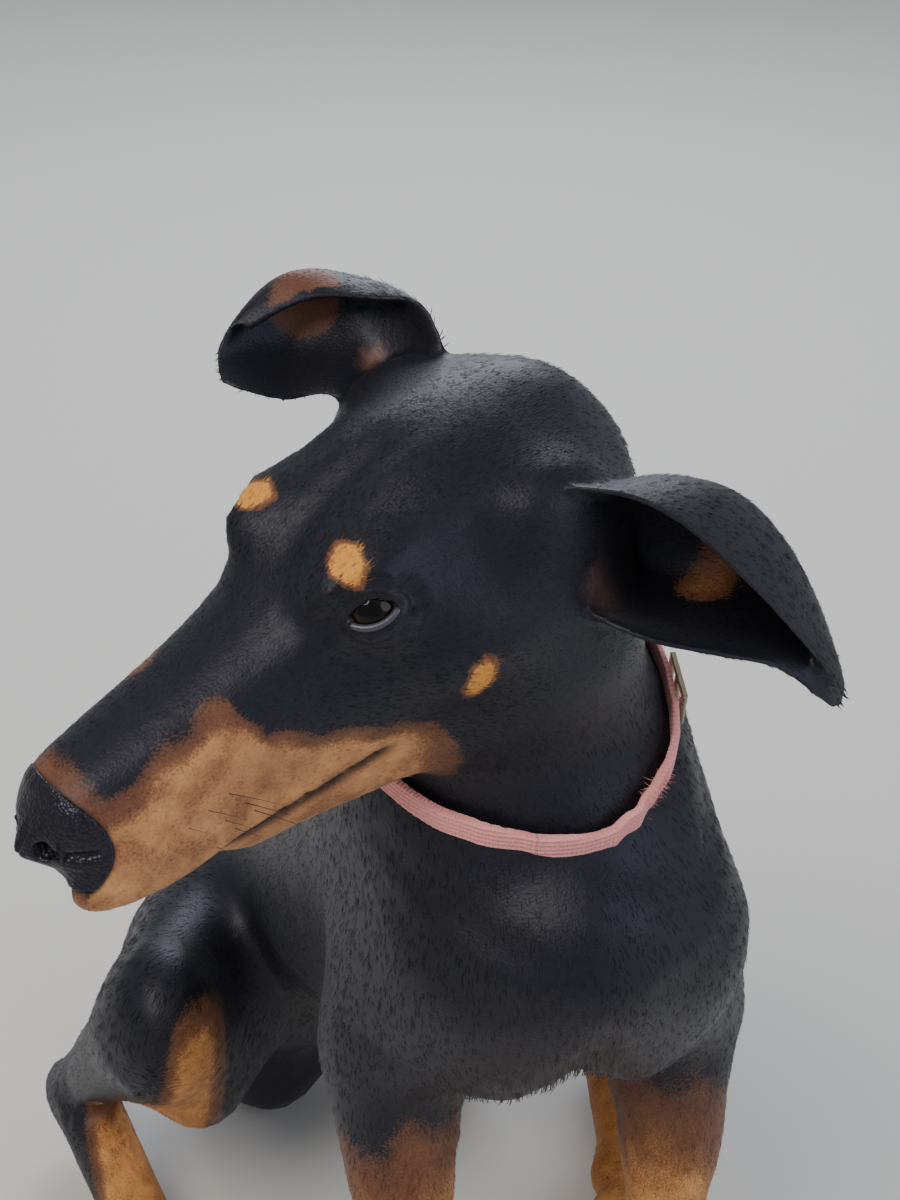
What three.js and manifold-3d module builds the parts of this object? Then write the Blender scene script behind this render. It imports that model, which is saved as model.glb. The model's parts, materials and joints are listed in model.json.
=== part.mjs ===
// A young doberman pinscher with natural ears, sitting with its head turned to its right, life size.
// Millimetres, +Z up. The dog faces -Y, so +X is its own left side. The floor is the plane Z = 0.
// The flesh is one smooth field of tapered limbs, ellipsoids and two lofted profiles (head and trunk).
// Each node is that field polygonised inside its own cell, thinned, and cut square at the cell's walls.
import * as THREE from "three";
import { mergeVertices } from "three/addons/utils/BufferGeometryUtils.js";
import Module from "manifold-3d";

const wasm = await Module();
wasm.setup();

// Driving dimensions
const GAP = 0.3; // clear width between touching nodes
const HEAD_LENGTH = 200; // nose tip to occiput
const HEAD_PIVOT = new THREE.Vector3(-8, 15, 440); // where the skull sits on the neck
const HEAD_PIVOT_IN_HEAD = new THREE.Vector3(0, 175, 5);
const HEAD_YAW = 66; // degrees to the dog's own right
const HEAD_PITCH = 17; // degrees nose down
const HEAD_ROLL = 7; // degrees, its left side lower
const EYE_RADIUS = 10;
const EYE_PLACE = new THREE.Vector3(23.5, 108, 24.5); // the left eye's centre, in the head's frame
const COLLAR_WIDTH = 11;
const COLLAR_THICKNESS = 2.4;
const COLLAR_CENTRE = new THREE.Vector3(-8, 8, 362);
const COLLAR_AXIS = new THREE.Vector3(-0.1, -0.42, 0.9).normalize();

const V = (x, y, z) => new THREE.Vector3(x, y, z);
const degrees = THREE.MathUtils.degToRad;

// Smooth union and smooth subtraction of two distances over a blend width k
function blend(a, b, k) {
  const h = Math.max(k - Math.abs(a - b), 0) / k;
  return Math.min(a, b) - (h * h * k) / 4;
}
const carve = (a, b, k) => -blend(-a, b, k);

// A smooth curve through [position, value] pairs, flat beyond its ends
function profile(stations) {
  const slope = stations.map((s, i) => {
    const a = stations[Math.max(i - 1, 0)];
    const b = stations[Math.min(i + 1, stations.length - 1)];
    return (b[1] - a[1]) / (b[0] - a[0]);
  });
  return (x) => {
    const last = stations.length - 1;
    if (x <= stations[0][0]) return stations[0][1];
    if (x >= stations[last][0]) return stations[last][1];
    let i = 0;
    while (x > stations[i + 1][0]) i++;
    const [x0, y0] = stations[i];
    const [x1, y1] = stations[i + 1];
    const w = x1 - x0;
    const t = (x - x0) / w;
    return (
      y0 * (1 + 2 * t) * (1 - t) ** 2 +
      slope[i] * w * t * (1 - t) ** 2 +
      y1 * t * t * (3 - 2 * t) +
      slope[i + 1] * w * t * t * (t - 1)
    );
  };
}

// Ellipsoid distance, close to true near its surface
function ellipsoid(centre, radii, turn = null) {
  const inverse = turn ? new THREE.Quaternion().setFromEuler(turn).invert() : null;
  const q = V();
  const reach = Math.max(...radii);
  return {
    centre,
    reach,
    at(p) {
      q.copy(p).sub(centre);
      if (inverse) q.applyQuaternion(inverse);
      const a = Math.hypot(q.x / radii[0], q.y / radii[1], q.z / radii[2]);
      const b = Math.hypot(q.x / radii[0] ** 2, q.y / radii[1] ** 2, q.z / radii[2] ** 2);
      return b < 1e-9 ? -Math.min(...radii) : (a * (a - 1)) / b;
    },
  };
}

// A tapered limb with round ends from a to b; squash narrows it along one direction
function limb(a, ra, b, rb, squash = null) {
  const along = b.clone().sub(a);
  const length2 = along.lengthSq();
  const q = V();
  return {
    centre: a.clone().add(b).multiplyScalar(0.5),
    reach: Math.sqrt(length2) / 2 + Math.max(ra, rb),
    at(p) {
      q.copy(p).sub(a);
      const t = Math.min(Math.max(q.dot(along) / length2, 0), 1);
      q.addScaledVector(along, -t);
      const r = ra + (rb - ra) * t;
      if (!squash) return q.length() - r;
      const side = q.dot(squash.direction);
      q.addScaledVector(squash.direction, side / squash.share - side);
      return (q.length() - r) * squash.share;
    },
  };
}
const narrow = (share, x = 1, y = 0, z = 0) => ({ share, direction: V(x, y, z).normalize() });

// The trunk: oval slices along a bent axis, each [centre y, centre z, half depth, half width, sideways shift]
const TRUNK = [
  [-24, 300, 30, 32, 9],
  [-8, 304, 56, 45, 9],
  [18, 306, 80, 53, 9],
  [56, 300, 93, 58, 7],
  [108, 271, 92, 60, 3],
  [162, 230, 84, 59, 0],
  [212, 184, 74, 58, -2],
  [256, 138, 68, 61, -4],
  [286, 98, 60, 56, -5],
  [300, 74, 42, 42, -5],
];
function trunk() {
  const steps = 36;
  const station = (column) => profile(TRUNK.map((s, i) => [i / (TRUNK.length - 1), s[column]]));
  const [y, z, depth, width, shift] = [0, 1, 2, 3, 4].map(station);
  const rings = [];
  for (let i = 0; i <= steps; i++) {
    const t = i / steps;
    rings.push({ c: V(shift(t), y(t), z(t)), depth: depth(t), width: width(t) });
  }
  const q = V();
  const along = V();
  return {
    centre: V(0, 150, 210),
    reach: 300,
    at(p) {
      let best = Infinity;
      let found = 0;
      let share = 0;
      for (let i = 0; i < steps; i++) {
        const a = rings[i].c;
        const b = rings[i + 1].c;
        const dy = b.y - a.y;
        const dz = b.z - a.z;
        const t = Math.min(Math.max(((p.y - a.y) * dy + (p.z - a.z) * dz) / (dy * dy + dz * dz), 0), 1);
        const e = (p.y - a.y - t * dy) ** 2 + (p.z - a.z - t * dz) ** 2;
        if (e < best) {
          best = e;
          found = i;
          share = t;
        }
      }
      const a = rings[found];
      const b = rings[found + 1];
      const mix = THREE.MathUtils.lerp;
      q.copy(p).sub(a.c).addScaledVector(along.copy(b.c).sub(a.c), -share);
      const w = mix(a.width, b.width, share);
      const d = mix(a.depth, b.depth, share);
      const reach = Math.hypot(q.y, q.z);
      const m = Math.hypot(q.x / w, reach / d);
      const n = Math.hypot(q.x / w ** 2, reach / d ** 2);
      return n < 1e-9 ? -Math.min(w, d) : (m * (m - 1)) / n;
    },
  };
}

// The head, in its own frame: Y runs back from the nose tip, Z is up, X is its left
const HEAD_TOP = profile([
  [2, 6], [10, 14], [30, 17.5], [60, 22], [84, 28], [98, 36], [114, 46], [134, 52], [156, 52], [178, 45], [193, 34], [200, 24],
]);
const HEAD_BOTTOM = profile([
  [2, -10], [10, -20], [24, -29], [50, -33], [80, -36], [110, -42], [140, -46], [170, -44], [190, -34], [200, -20],
]);
const HEAD_HALF_WIDTH = profile([
  [2, 11], [10, 17], [25, 20.5], [50, 22.5], [75, 26], [95, 32], [112, 39], [132, 44], [158, 45], [180, 40], [194, 29], [200, 20],
]);
const HEAD_SQUARENESS = profile([[0, 2.2], [40, 2.6], [90, 2.4], [140, 2.1], [200, 2]]);

function skullProfile(p) {
  const y = Math.min(Math.max(p.y, 2), HEAD_LENGTH);
  const beyond = Math.abs(p.y - y);
  const top = HEAD_TOP(y);
  const bottom = HEAD_BOTTOM(y);
  const half = (top - bottom) / 2;
  const width = HEAD_HALF_WIDTH(y);
  const n = HEAD_SQUARENESS(y);
  const m = (Math.abs(p.x / width) ** n + Math.abs((p.z - (top + bottom) / 2) / half) ** n) ** (1 / n);
  const around = (m - 1) * Math.min(width, half);
  return beyond > 0 ? Math.hypot(Math.max(around, 0), beyond) + Math.min(around, 0) : around;
}

// Both sides of a form that the head or body has twice
const mirrored = (make) => [make(1), make(-1)];
const HEAD_FORMS = [
  ...mirrored((s) => [ellipsoid(V(s * 37, 142, 2), [12, 30, 14]), 12]), // cheek arch
  ...mirrored((s) => [ellipsoid(V(s * 31, 156, -20), [15, 24, 20]), 12]), // jaw muscle
  ...mirrored((s) => [ellipsoid(V(s * 21, 107, 34), [10, 14, 8]), 13]), // brow
  ...mirrored((s) => [ellipsoid(V(s * EYE_PLACE.x, EYE_PLACE.y, EYE_PLACE.z), [11.5, 11.5, 11.3]), 8]), // lids
  ...mirrored((s) => [ellipsoid(V(s * 14, 30, -16), [10, 30, 14]), 8]), // hanging upper lip
  [ellipsoid(V(0, 187, 31), [11, 12, 10]), 12], // occiput
  [limb(V(0, 24, -28), 9, V(0, 60, -30), 14), 8], // chin
  ...mirrored((s) => [limb(V(s * 8, 60, -30), 12, V(s * 24, 130, -34), 13), 10]), // lower jaw
  ...mirrored((s) => [ellipsoid(V(s * 36, 166, 27), [10, 17, 14]), 16]), // root of the ear
];
const HEAD_HOLLOWS = [
  ...mirrored((s) => [ellipsoid(V(s * 37, 86, 16), [9, 14, 9]), 10]), // before the eye
  [ellipsoid(V(0, 112, 58), [5, 24, 8]), 10], // furrow between the brows
  ...mirrored((s) => [ellipsoid(V(s * 46, 128, 40), [9, 16, 10]), 12]), // temple
];
function headField(p) {
  let d = skullProfile(p);
  for (const [form, k] of HEAD_FORMS) d = blend(d, form.at(p), k);
  for (const [form, k] of HEAD_HOLLOWS) d = carve(d, form.at(p), k);
  return d;
}
const headTurn = new THREE.Quaternion()
  .setFromAxisAngle(V(0, 0, 1), degrees(-HEAD_YAW))
  .multiply(new THREE.Quaternion().setFromAxisAngle(V(1, 0, 0), degrees(HEAD_PITCH)))
  .multiply(new THREE.Quaternion().setFromAxisAngle(V(0, 1, 0), degrees(HEAD_ROLL)));
const headMatrix = new THREE.Matrix4()
  .makeTranslation(HEAD_PIVOT)
  .multiply(new THREE.Matrix4().makeRotationFromQuaternion(headTurn))
  .multiply(new THREE.Matrix4().makeTranslation(HEAD_PIVOT_IN_HEAD.clone().negate()));
const headInverse = headMatrix.clone().invert();
const inHead = V();
const head = {
  centre: V(0, 100, 5).applyMatrix4(headMatrix),
  reach: 125,
  at: (p) => headField(inHead.copy(p).applyMatrix4(headInverse)),
};

// Fore leg, for side s: shoulder blade, upper arm, forearm, pastern and paw
const FORE_MID = 12; // the fore feet stand a little to the left of the hips' midline
function foreLeg(s) {
  const at = (x, y, z) => V(FORE_MID + s * x, y, z);
  return [
    [limb(at(20, 86, 366), 23, at(34, 0, 296), 25, narrow(0.75)), 28],
    [limb(at(33, -8, 288), 23, at(51, 24, 234), 25), 24],
    [ellipsoid(at(48, 38, 254), [17, 32, 42]), 20],
    [limb(at(52, 28, 226), 19, at(50, 14, 180), 17), 14],
    [limb(at(51, 20, 206), 18, at(46, 2, 96), 12), 12],
    [ellipsoid(at(53, 38, 214), [10, 11, 13]), 10],
    [limb(at(46, 0, 98), 13, at(46, -1, 84), 13), 9],
    [limb(at(46, 0, 86), 11.5, at(47, -9, 34), 13), 8],
    [ellipsoid(at(47, -16, 20), [20, 19, 16]), 8],
    ...toes(at(47, -22, 0), 0),
  ];
}
const TOE_SIDES = [-16.5, -5.8, 5.8, 16.5];
const TOE_REACH = [24, 31, 31, 24];
const TOE_RADIUS = 8.8;
const TOE_HEIGHT = 7.8;
// Where the toes of a foot end, for a foot whose sole is centred at a place and which points a turn outwards
function toeTips(sole, turn) {
  const forward = V(Math.sin(turn), -Math.cos(turn), 0);
  const side = V(Math.cos(turn), Math.sin(turn), 0);
  const place = (across, along, z) => sole.clone().addScaledVector(side, across).addScaledVector(forward, along).setZ(z);
  return TOE_SIDES.map((across, i) => ({
    root: place(across * 0.72, 8, 19),
    tip: place(across, TOE_REACH[i], TOE_HEIGHT),
    claw: place(across * 1.04, TOE_REACH[i] + TOE_RADIUS - 3, TOE_HEIGHT + 3),
    point: place(across * 1.08, TOE_REACH[i] + TOE_RADIUS + 5.5, 2.2),
  }));
}
const toes = (sole, turn) => toeTips(sole, turn).map((toe) => [limb(toe.root, 9.5, toe.tip, TOE_RADIUS), 3.5]);

// Hind leg, for side s: thigh, shank, heel, and the long foot lying on the floor
const HIND_TURN = 0.08;
function hindLeg(s) {
  const at = (x, y, z) => V(s * x, y, z);
  return [
    [limb(at(46, 262, 118), 56, at(100, 168, 148), 33, narrow(0.68)), 24],
    [ellipsoid(at(84, 216, 108), [29, 52, 48]), 20],
    [ellipsoid(at(102, 160, 146), [18, 20, 26]), 20],
    [limb(at(102, 172, 138), 26, at(124, 246, 60), 15), 14],
    [limb(at(128, 256, 44), 15, at(131, 270, 36), 13), 9],
    [limb(at(127, 262, 30), 15, at(110, 174, 19), 14), 9],
    [ellipsoid(at(108, 166, 18), [19, 20, 15]), 8],
    [ellipsoid(at(38, 288, 45), [34, 44, 46]), 22],
    ...toes(at(106, 156, 0), -s * HIND_TURN),
  ];
}
const NECK = [
  [limb(V(0, 62, 326), 54, V(-6, 34, 348), 45), 24],
  [limb(V(-7, 26, 340), 46, V(-9, 14, 400), 42), 20],
  [limb(V(-9, 14, 400), 42, V(-8, 20, 438), 42), 16],
];
const BREAST = [
  [ellipsoid(V(FORE_MID - 3, -26, 298), [26, 18, 34]), 26],
  ...mirrored((s) => [ellipsoid(V(FORE_MID + s * 21, -14, 264), [20, 18, 30]), 22]),
];
// The tail: its middle line, and its radius from root to tip
const TAIL = [[-6, 326, 66], [-6, 350, 40], [0, 382, 17], [28, 422, 9.6], [72, 450, 8], [118, 460, 6], [156, 454, 3.6]];
const TAIL_RADIUS = profile([[0, 20], [0.16, 14], [0.33, 11.5], [0.5, 10.4], [0.67, 8.8], [0.84, 6.8], [1, 4.4]]);
const TAIL_STEPS = 18;
const tailCurve = new THREE.CatmullRomCurve3(TAIL.map((c) => V(...c)));
const tailForms = Array.from({ length: TAIL_STEPS }, (_, i) => {
  const [t0, t1] = [i / TAIL_STEPS, (i + 1) / TAIL_STEPS];
  return [limb(tailCurve.getPoint(t0), TAIL_RADIUS(t0), tailCurve.getPoint(t1), TAIL_RADIUS(t1)), 3];
});

const bodyForms = [
  [trunk(), 1],
  ...NECK,
  ...BREAST,
  ...mirrored(foreLeg).flat(),
  ...mirrored(hindLeg).flat(),
  ...tailForms,
  [head, 16],
];
// The flesh of the whole dog: negative inside
function flesh(p) {
  let d = 1e3;
  for (const [form, k] of bodyForms) {
    const clear = 0.6 * (p.distanceTo(form.centre) - form.reach);
    if (clear > d + k || clear > 40) continue;
    d = blend(d, form.at(p), k);
  }
  return d;
}

// Polygonises a field inside a box by marching tetrahedra. Six tetrahedra fill each cube round its long diagonal.
const CORNERS = [[0, 1, 3, 7], [0, 3, 2, 7], [0, 2, 6, 7], [0, 6, 4, 7], [0, 4, 5, 7], [0, 5, 1, 7]];
function polygonise(field, low, high, cell) {
  const n = [0, 1, 2].map((i) => Math.ceil((high.getComponent(i) - low.getComponent(i)) / cell) + 1);
  const values = new Float32Array(n[0] * n[1] * n[2]);
  const p = V();
  const step = [1, n[0], n[0] * n[1]];
  for (let k = 0; k < n[2]; k++)
    for (let j = 0; j < n[1]; j++)
      for (let i = 0; i < n[0]; i++) {
        p.set(low.x + i * cell, low.y + j * cell, low.z + k * cell);
        const edge = i === 0 || j === 0 || k === 0 || i === n[0] - 1 || j === n[1] - 1 || k === n[2] - 1;
        values[i + j * step[1] + k * step[2]] = edge ? Math.max(field(p), cell * 0.5) : field(p) || 1e-6;
      }
  const offset = (c) => (c & 1) * step[0] + ((c >> 1) & 1) * step[1] + ((c >> 2) & 1) * step[2];
  const points = [];
  const faces = [];
  const known = new Map();
  const corner = (g) => [g % n[0], Math.floor(g / n[0]) % n[1], Math.floor(g / step[2])];
  function crossing(a, b) {
    const [s, e] = a < b ? [a, b] : [b, a];
    const key = s * 8 * step[2] + (e - s);
    let index = known.get(key);
    if (index === undefined) {
      const t = Math.min(Math.max(values[s] / (values[s] - values[e]), 0.03), 0.97);
      const [u, v] = [corner(s), corner(e)];
      index = points.length / 3;
      points.push(...[0, 1, 2].map((i) => low.getComponent(i) + cell * (u[i] + t * (v[i] - u[i]))));
      known.set(key, index);
    }
    return index;
  }
  for (let k = 0; k < n[2] - 1; k++)
    for (let j = 0; j < n[1] - 1; j++)
      for (let i = 0; i < n[0] - 1; i++) {
        const base = i + j * step[1] + k * step[2];
        let inside = 0;
        for (let c = 0; c < 8; c++) if (values[base + offset(c)] < 0) inside++;
        if (inside === 0 || inside === 8) continue;
        for (const tet of CORNERS) {
          const g = tet.map((c) => base + offset(c));
          const is = g.map((x) => values[x] < 0);
          const count = is.filter(Boolean).length;
          if (count === 0 || count === 4) continue;
          if (count === 2) {
            const a = is.indexOf(true);
            const b = is.lastIndexOf(true);
            const [c, d] = [0, 1, 2, 3].filter((x) => !is[x]);
            const even = [a, b, c, d];
            const swaps = even.reduce((m, x, q) => m + even.slice(q + 1).filter((y) => y < x).length, 0);
            const quad = [crossing(g[a], g[c]), crossing(g[a], g[d]), crossing(g[b], g[d]), crossing(g[b], g[c])];
            if (swaps % 2) quad.reverse();
            faces.push([quad[0], quad[1], quad[2]], [quad[0], quad[2], quad[3]]);
          } else {
            const lone = count === 1 ? is.indexOf(true) : is.indexOf(false);
            const rest = [0, 1, 2, 3].filter((x) => x !== lone);
            const tri = rest.map((x) => crossing(g[lone], g[x]));
            if ((lone % 2 === 1) !== (count === 3)) tri.reverse();
            faces.push(tri);
          }
        }
      }
  return { points, faces };
}

// Thins a closed mesh by collapsing its cheapest edges, measured by quadrics, until it has few enough faces
function thin({ points, faces }, target, most = 1e9) {
  const count = points.length / 3;
  const at = Array.from({ length: count }, (_, i) => V(points[3 * i], points[3 * i + 1], points[3 * i + 2]));
  const quadric = Array.from({ length: count }, () => new Float64Array(10));
  const around = Array.from({ length: count }, () => new Set());
  const live = new Uint8Array(faces.length).fill(1);
  const [u, v, normal] = [V(), V(), V()];
  const faceNormal = (a, b, c) => normal.crossVectors(u.copy(b).sub(a), v.copy(c).sub(a));
  faces.forEach((f, i) => {
    faceNormal(...f.map((x) => at[x]));
    const area = normal.length() / 2;
    if (area > 1e-12) normal.normalize();
    const w = -normal.dot(at[f[0]]);
    const e = [normal.x, normal.y, normal.z, w];
    for (const x of f) {
      let m = 0;
      for (let r = 0; r < 4; r++) for (let c = r; c < 4; c++) quadric[x][m++] += area * e[r] * e[c];
      around[x].add(i);
    }
  });
  const cost = (q, x, y, z) =>
    q[0] * x * x + 2 * q[1] * x * y + 2 * q[2] * x * z + 2 * q[3] * x + q[4] * y * y + 2 * q[5] * y * z +
    2 * q[6] * y + q[7] * z * z + 2 * q[8] * z + q[9];
  const stamp = new Uint32Array(count);
  const heap = [];
  const less = (a, b) => a.cost < b.cost;
  function push(item) {
    let i = heap.push(item) - 1;
    while (i > 0) {
      const up = (i - 1) >> 1;
      if (!less(heap[i], heap[up])) break;
      [heap[i], heap[up]] = [heap[up], heap[i]];
      i = up;
    }
  }
  function pop() {
    const top = heap[0];
    const last = heap.pop();
    if (heap.length) {
      heap[0] = last;
      let i = 0;
      for (;;) {
        const l = 2 * i + 1;
        if (l >= heap.length) break;
        const small = l + 1 < heap.length && less(heap[l + 1], heap[l]) ? l + 1 : l;
        if (!less(heap[small], heap[i])) break;
        [heap[i], heap[small]] = [heap[small], heap[i]];
        i = small;
      }
    }
    return top;
  }
  function consider(a, b) {
    const q = quadric[a].map((x, i) => x + quadric[b][i]);
    const det = q[0] * (q[4] * q[7] - q[5] * q[5]) - q[1] * (q[1] * q[7] - q[5] * q[2]) + q[2] * (q[1] * q[5] - q[4] * q[2]);
    const mid = at[a].clone().add(at[b]).multiplyScalar(0.5);
    let place = mid;
    const length = at[a].distanceTo(at[b]);
    if (Math.abs(det) > 1e-9 * (q[0] + q[4] + q[7]) ** 3) {
      const x = -(q[3] * (q[4] * q[7] - q[5] * q[5]) - q[1] * (q[6] * q[7] - q[5] * q[8]) + q[2] * (q[6] * q[5] - q[4] * q[8])) / det;
      const y = -(q[0] * (q[6] * q[7] - q[8] * q[5]) - q[3] * (q[1] * q[7] - q[5] * q[2]) + q[2] * (q[1] * q[8] - q[6] * q[2])) / det;
      const z = -(q[0] * (q[4] * q[8] - q[5] * q[6]) - q[1] * (q[1] * q[8] - q[6] * q[2]) + q[3] * (q[1] * q[5] - q[4] * q[2])) / det;
      const best = V(x, y, z);
      if (best.distanceTo(mid) < length) place = best;
    }
    const c = Math.max(cost(q, place.x, place.y, place.z), 0) + 1e-5 * length ** 3;
    push({ cost: c, a, b, place, sa: stamp[a], sb: stamp[b] });
  }
  for (const f of faces) for (let i = 0; i < 3; i++) if (f[i] < f[(i + 1) % 3]) consider(f[i], f[(i + 1) % 3]);
  const ring = (x) => {
    const found = new Set();
    for (const i of around[x]) for (const y of faces[i]) if (y !== x) found.add(y);
    return found;
  };
  const before = V();
  let left = faces.length;
  while ((left > target) && heap.length) {
    const e = pop();
    if (e.cost > most) break;
    const { a, b, place } = e;
    if (e.sa !== stamp[a] || e.sb !== stamp[b] || !around[a].size || !around[b].size) continue;
    const ringA = ring(a);
    const ringB = ring(b);
    let shared = 0;
    for (const x of ringA) if (ringB.has(x)) shared++;
    if (shared !== 2) continue;
    let good = true;
    for (const [x, other] of [[a, b], [b, a]])
      for (const i of around[x]) {
        const f = faces[i];
        if (f.includes(other)) continue;
        before.copy(faceNormal(...f.map((y) => at[y])));
        const old = before.length();
        faceNormal(...f.map((y) => (y === x ? place : at[y])));
        if (normal.dot(before) < 0.25 * old * normal.length() || normal.length() < 1e-4) {
          good = false;
          break;
        }
      }
    if (!good) continue;
    at[a].copy(place);
    quadric[a] = quadric[a].map((x, i) => x + quadric[b][i]);
    for (const i of around[b]) {
      const f = faces[i];
      if (f.includes(a)) {
        live[i] = 0;
        left--;
        for (const y of f) if (y !== b) around[y].delete(i);
      } else {
        f[f.indexOf(b)] = a;
        around[a].add(i);
      }
    }
    around[b].clear();
    stamp[a]++;
    stamp[b]++;
    for (const x of ring(a)) {
      if (x < a) consider(x, a);
      else consider(a, x);
    }
  }
  const kept = faces.filter((_, i) => live[i]);
  return { at, faces: kept };
}

function solidOf({ at, faces }) {
  const vertProperties = new Float32Array(at.length * 3);
  at.forEach((p, i) => p.toArray(vertProperties, 3 * i));
  const mesh = new wasm.Mesh({ numProp: 3, vertProperties, triVerts: new Uint32Array(faces.flat()) });
  return new wasm.Manifold(mesh);
}
// A closed three.js geometry, moved by a matrix, as a solid for cutting and joining
function solidFrom(geometry, matrix = new THREE.Matrix4()) {
  const bare = geometry.clone().applyMatrix4(matrix);
  bare.deleteAttribute("normal");
  bare.deleteAttribute("uv");
  const merged = mergeVertices(bare, 1e-4);
  const mesh = new wasm.Mesh({
    numProp: 3,
    vertProperties: new Float32Array(merged.attributes.position.array),
    triVerts: new Uint32Array(merged.index.array),
  });
  mesh.merge();
  return new wasm.Manifold(mesh);
}
function geometryOf(solid) {
  const { vertProperties, triVerts } = solid.getMesh();
  return new THREE.BufferGeometry()
    .setAttribute("position", new THREE.BufferAttribute(new Float32Array(vertProperties), 3))
    .setIndex(new THREE.BufferAttribute(new Uint32Array(triVerts), 1));
}
// Drops the needle-thin faces that cuts leave, by collapsing edges that cost next to nothing
function cleaned(solid) {
  const { vertProperties, triVerts } = solid.getMesh();
  const faces = Array.from({ length: triVerts.length / 3 }, (_, i) => Array.from(triVerts.slice(3 * i, 3 * i + 3)));
  return solidOf(thin({ points: Array.from(vertProperties), faces }, 0, 2e-5));
}
const largest = (solid) => solid.decompose().sort((a, b) => b.volume() - a.volume())[0];


// A plane that parts two neighbours: a point on it and the direction of its far side
const wall = (point, direction) => ({ direction: direction.clone().normalize(), point });
const flip = ({ point, direction }) => ({ point, direction: direction.clone().negate() });
const inHeadFrame = (point, direction) =>
  wall(point.clone().applyMatrix4(headMatrix), direction.clone().applyQuaternion(headTurn));
const WALLS = {
  throat: inHeadFrame(V(0, 110, -50), V(0, 0, 1)),
  neckBase: wall(V(0, -50, 320), V(0, -0.45, 0.893)),
  belly: wall(V(0, 95, 250), V(0, 1, 0)),
  elbow: wall(V(0, 20, 205), V(0, -0.45, -0.893)),
  midline: wall(V(FORE_MID, 0, 0), V(1, 0, 0)),
  wrist: wall(V(0, -4, 40), V(0, 0.16, -0.987)),
  loin: wall(V(0, 205, 200), V(0, 0.8, -0.6)),
  left: wall(V(70, 200, 100), V(1, 0, 0)),
  right: wall(V(-70, 200, 100), V(-1, 0, 0)),
  foot: wall(V(0, 200, 33), V(0, 0, -1)),
  tailBase: wall(V(0, 344, 50), V(0, 1, 0)),
  floor: wall(V(0, 0, -GAP / 2), V(0, 0, 1)),
};
// The flesh on the far side of every wall, thinned to about `faces` faces and cut clear of each wall by half the gap
function piece(low, high, cell, faces, walls) {
  const margin = 1.6 * cell;
  const p0 = V();
  const field = (p) => {
    let outside = -1e3;
    for (const w of walls) outside = Math.max(outside, -p0.copy(p).sub(w.point).dot(w.direction) - margin);
    return outside > 0 ? outside : Math.max(flesh(p), outside);
  };
  let solid = solidOf(thin(polygonise(field, V(...low), V(...high), cell), faces));
  for (const w of walls) {
    const { x, y, z } = w.direction;
    solid = solid.trimByPlane([x, y, z], w.point.dot(w.direction) + GAP / 2);
  }
  return largest(solid);
}

const W = WALLS;
const solids = {};
const upper = [flip(W.throat), W.neckBase];
const trunkFront = [flip(W.throat), flip(W.neckBase), flip(W.belly)];
const trunkBack = [flip(W.throat), flip(W.neckBase), W.belly, W.floor];
const middle = [...trunkBack, flip(W.left), flip(W.right)];
let skull = piece([-196, -100, 330], [70, 110, 520], 2.2, 3700, [W.throat]);
solids.neck = piece([-90, -70, 300], [80, 130, 450], 4, 620, upper);
solids.chest = piece([-85, -75, 175], [105, 105, 420], 5, 1500, [...trunkFront, flip(W.elbow)]);
solids.loin = piece([-80, 80, 80], [80, 300, 390], 6, 520, [...middle, flip(W.loin)]);
solids.rump = piece([-80, 130, -9], [80, 360, 290], 5, 900, [...middle, W.loin, flip(W.tailBase)]);
solids.tail = piece([-50, 330, -6], [180, 480, 110], 2.6, 460, [W.tailBase, W.floor]);

const CLAW_LENGTH = 12;
function claws(sole, turn) {
  return toeTips(sole, turn).map(({ claw, point }) => {
    const horn = new THREE.ConeGeometry(2.6, CLAW_LENGTH, 7).translate(0, CLAW_LENGTH / 2 - 2, 0);
    const turned = new THREE.Quaternion().setFromUnitVectors(V(0, 1, 0), point.clone().sub(claw).normalize());
    const place = new THREE.Matrix4().makeTranslation(claw).multiply(new THREE.Matrix4().makeRotationFromQuaternion(turned));
    return solidFrom(horn, place);
  });
}
const withClaws = (paw, sole, turn) => {
  const joined = claws(sole, turn).reduce((sum, claw) => sum.add(claw), paw);
  return largest(joined.trimByPlane([0, 0, 1], 0));
};
for (const [name, s] of [["left", 1], ["right", -1]]) {
  const side = s > 0 ? W.midline : flip(W.midline);
  const x = FORE_MID + s * 47;
  const leg = [flip(W.belly), W.elbow, side];
  solids[`foreleg_${name}`] = piece([x - 30, -40, 30], [x + 36, 80, 235], 3, 430, [...leg, flip(W.wrist)]);
  const paw = piece([x - 36, -75, -6], [x + 36, 30, 60], 2.2, 430, [...leg, W.wrist, W.floor]);
  solids[`forepaw_${name}`] = withClaws(paw, V(x, -22, 0), 0);
  const outer = s > 0 ? W.left : W.right;
  const [a, b] = s > 0 ? [55, 160] : [-160, -55];
  solids[`hindleg_${name}`] = piece([a, 110, 20], [b, 345, 215], 4, 780, [W.belly, outer, flip(W.foot)]);
  const foot = piece([a, 100, -6], [b, 300, 45], 2.4, 480, [W.belly, outer, W.foot, W.floor]);
  solids[`hindfoot_${name}`] = withClaws(foot, V(s * 106, 156, 0), -s * HIND_TURN);
}

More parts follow.
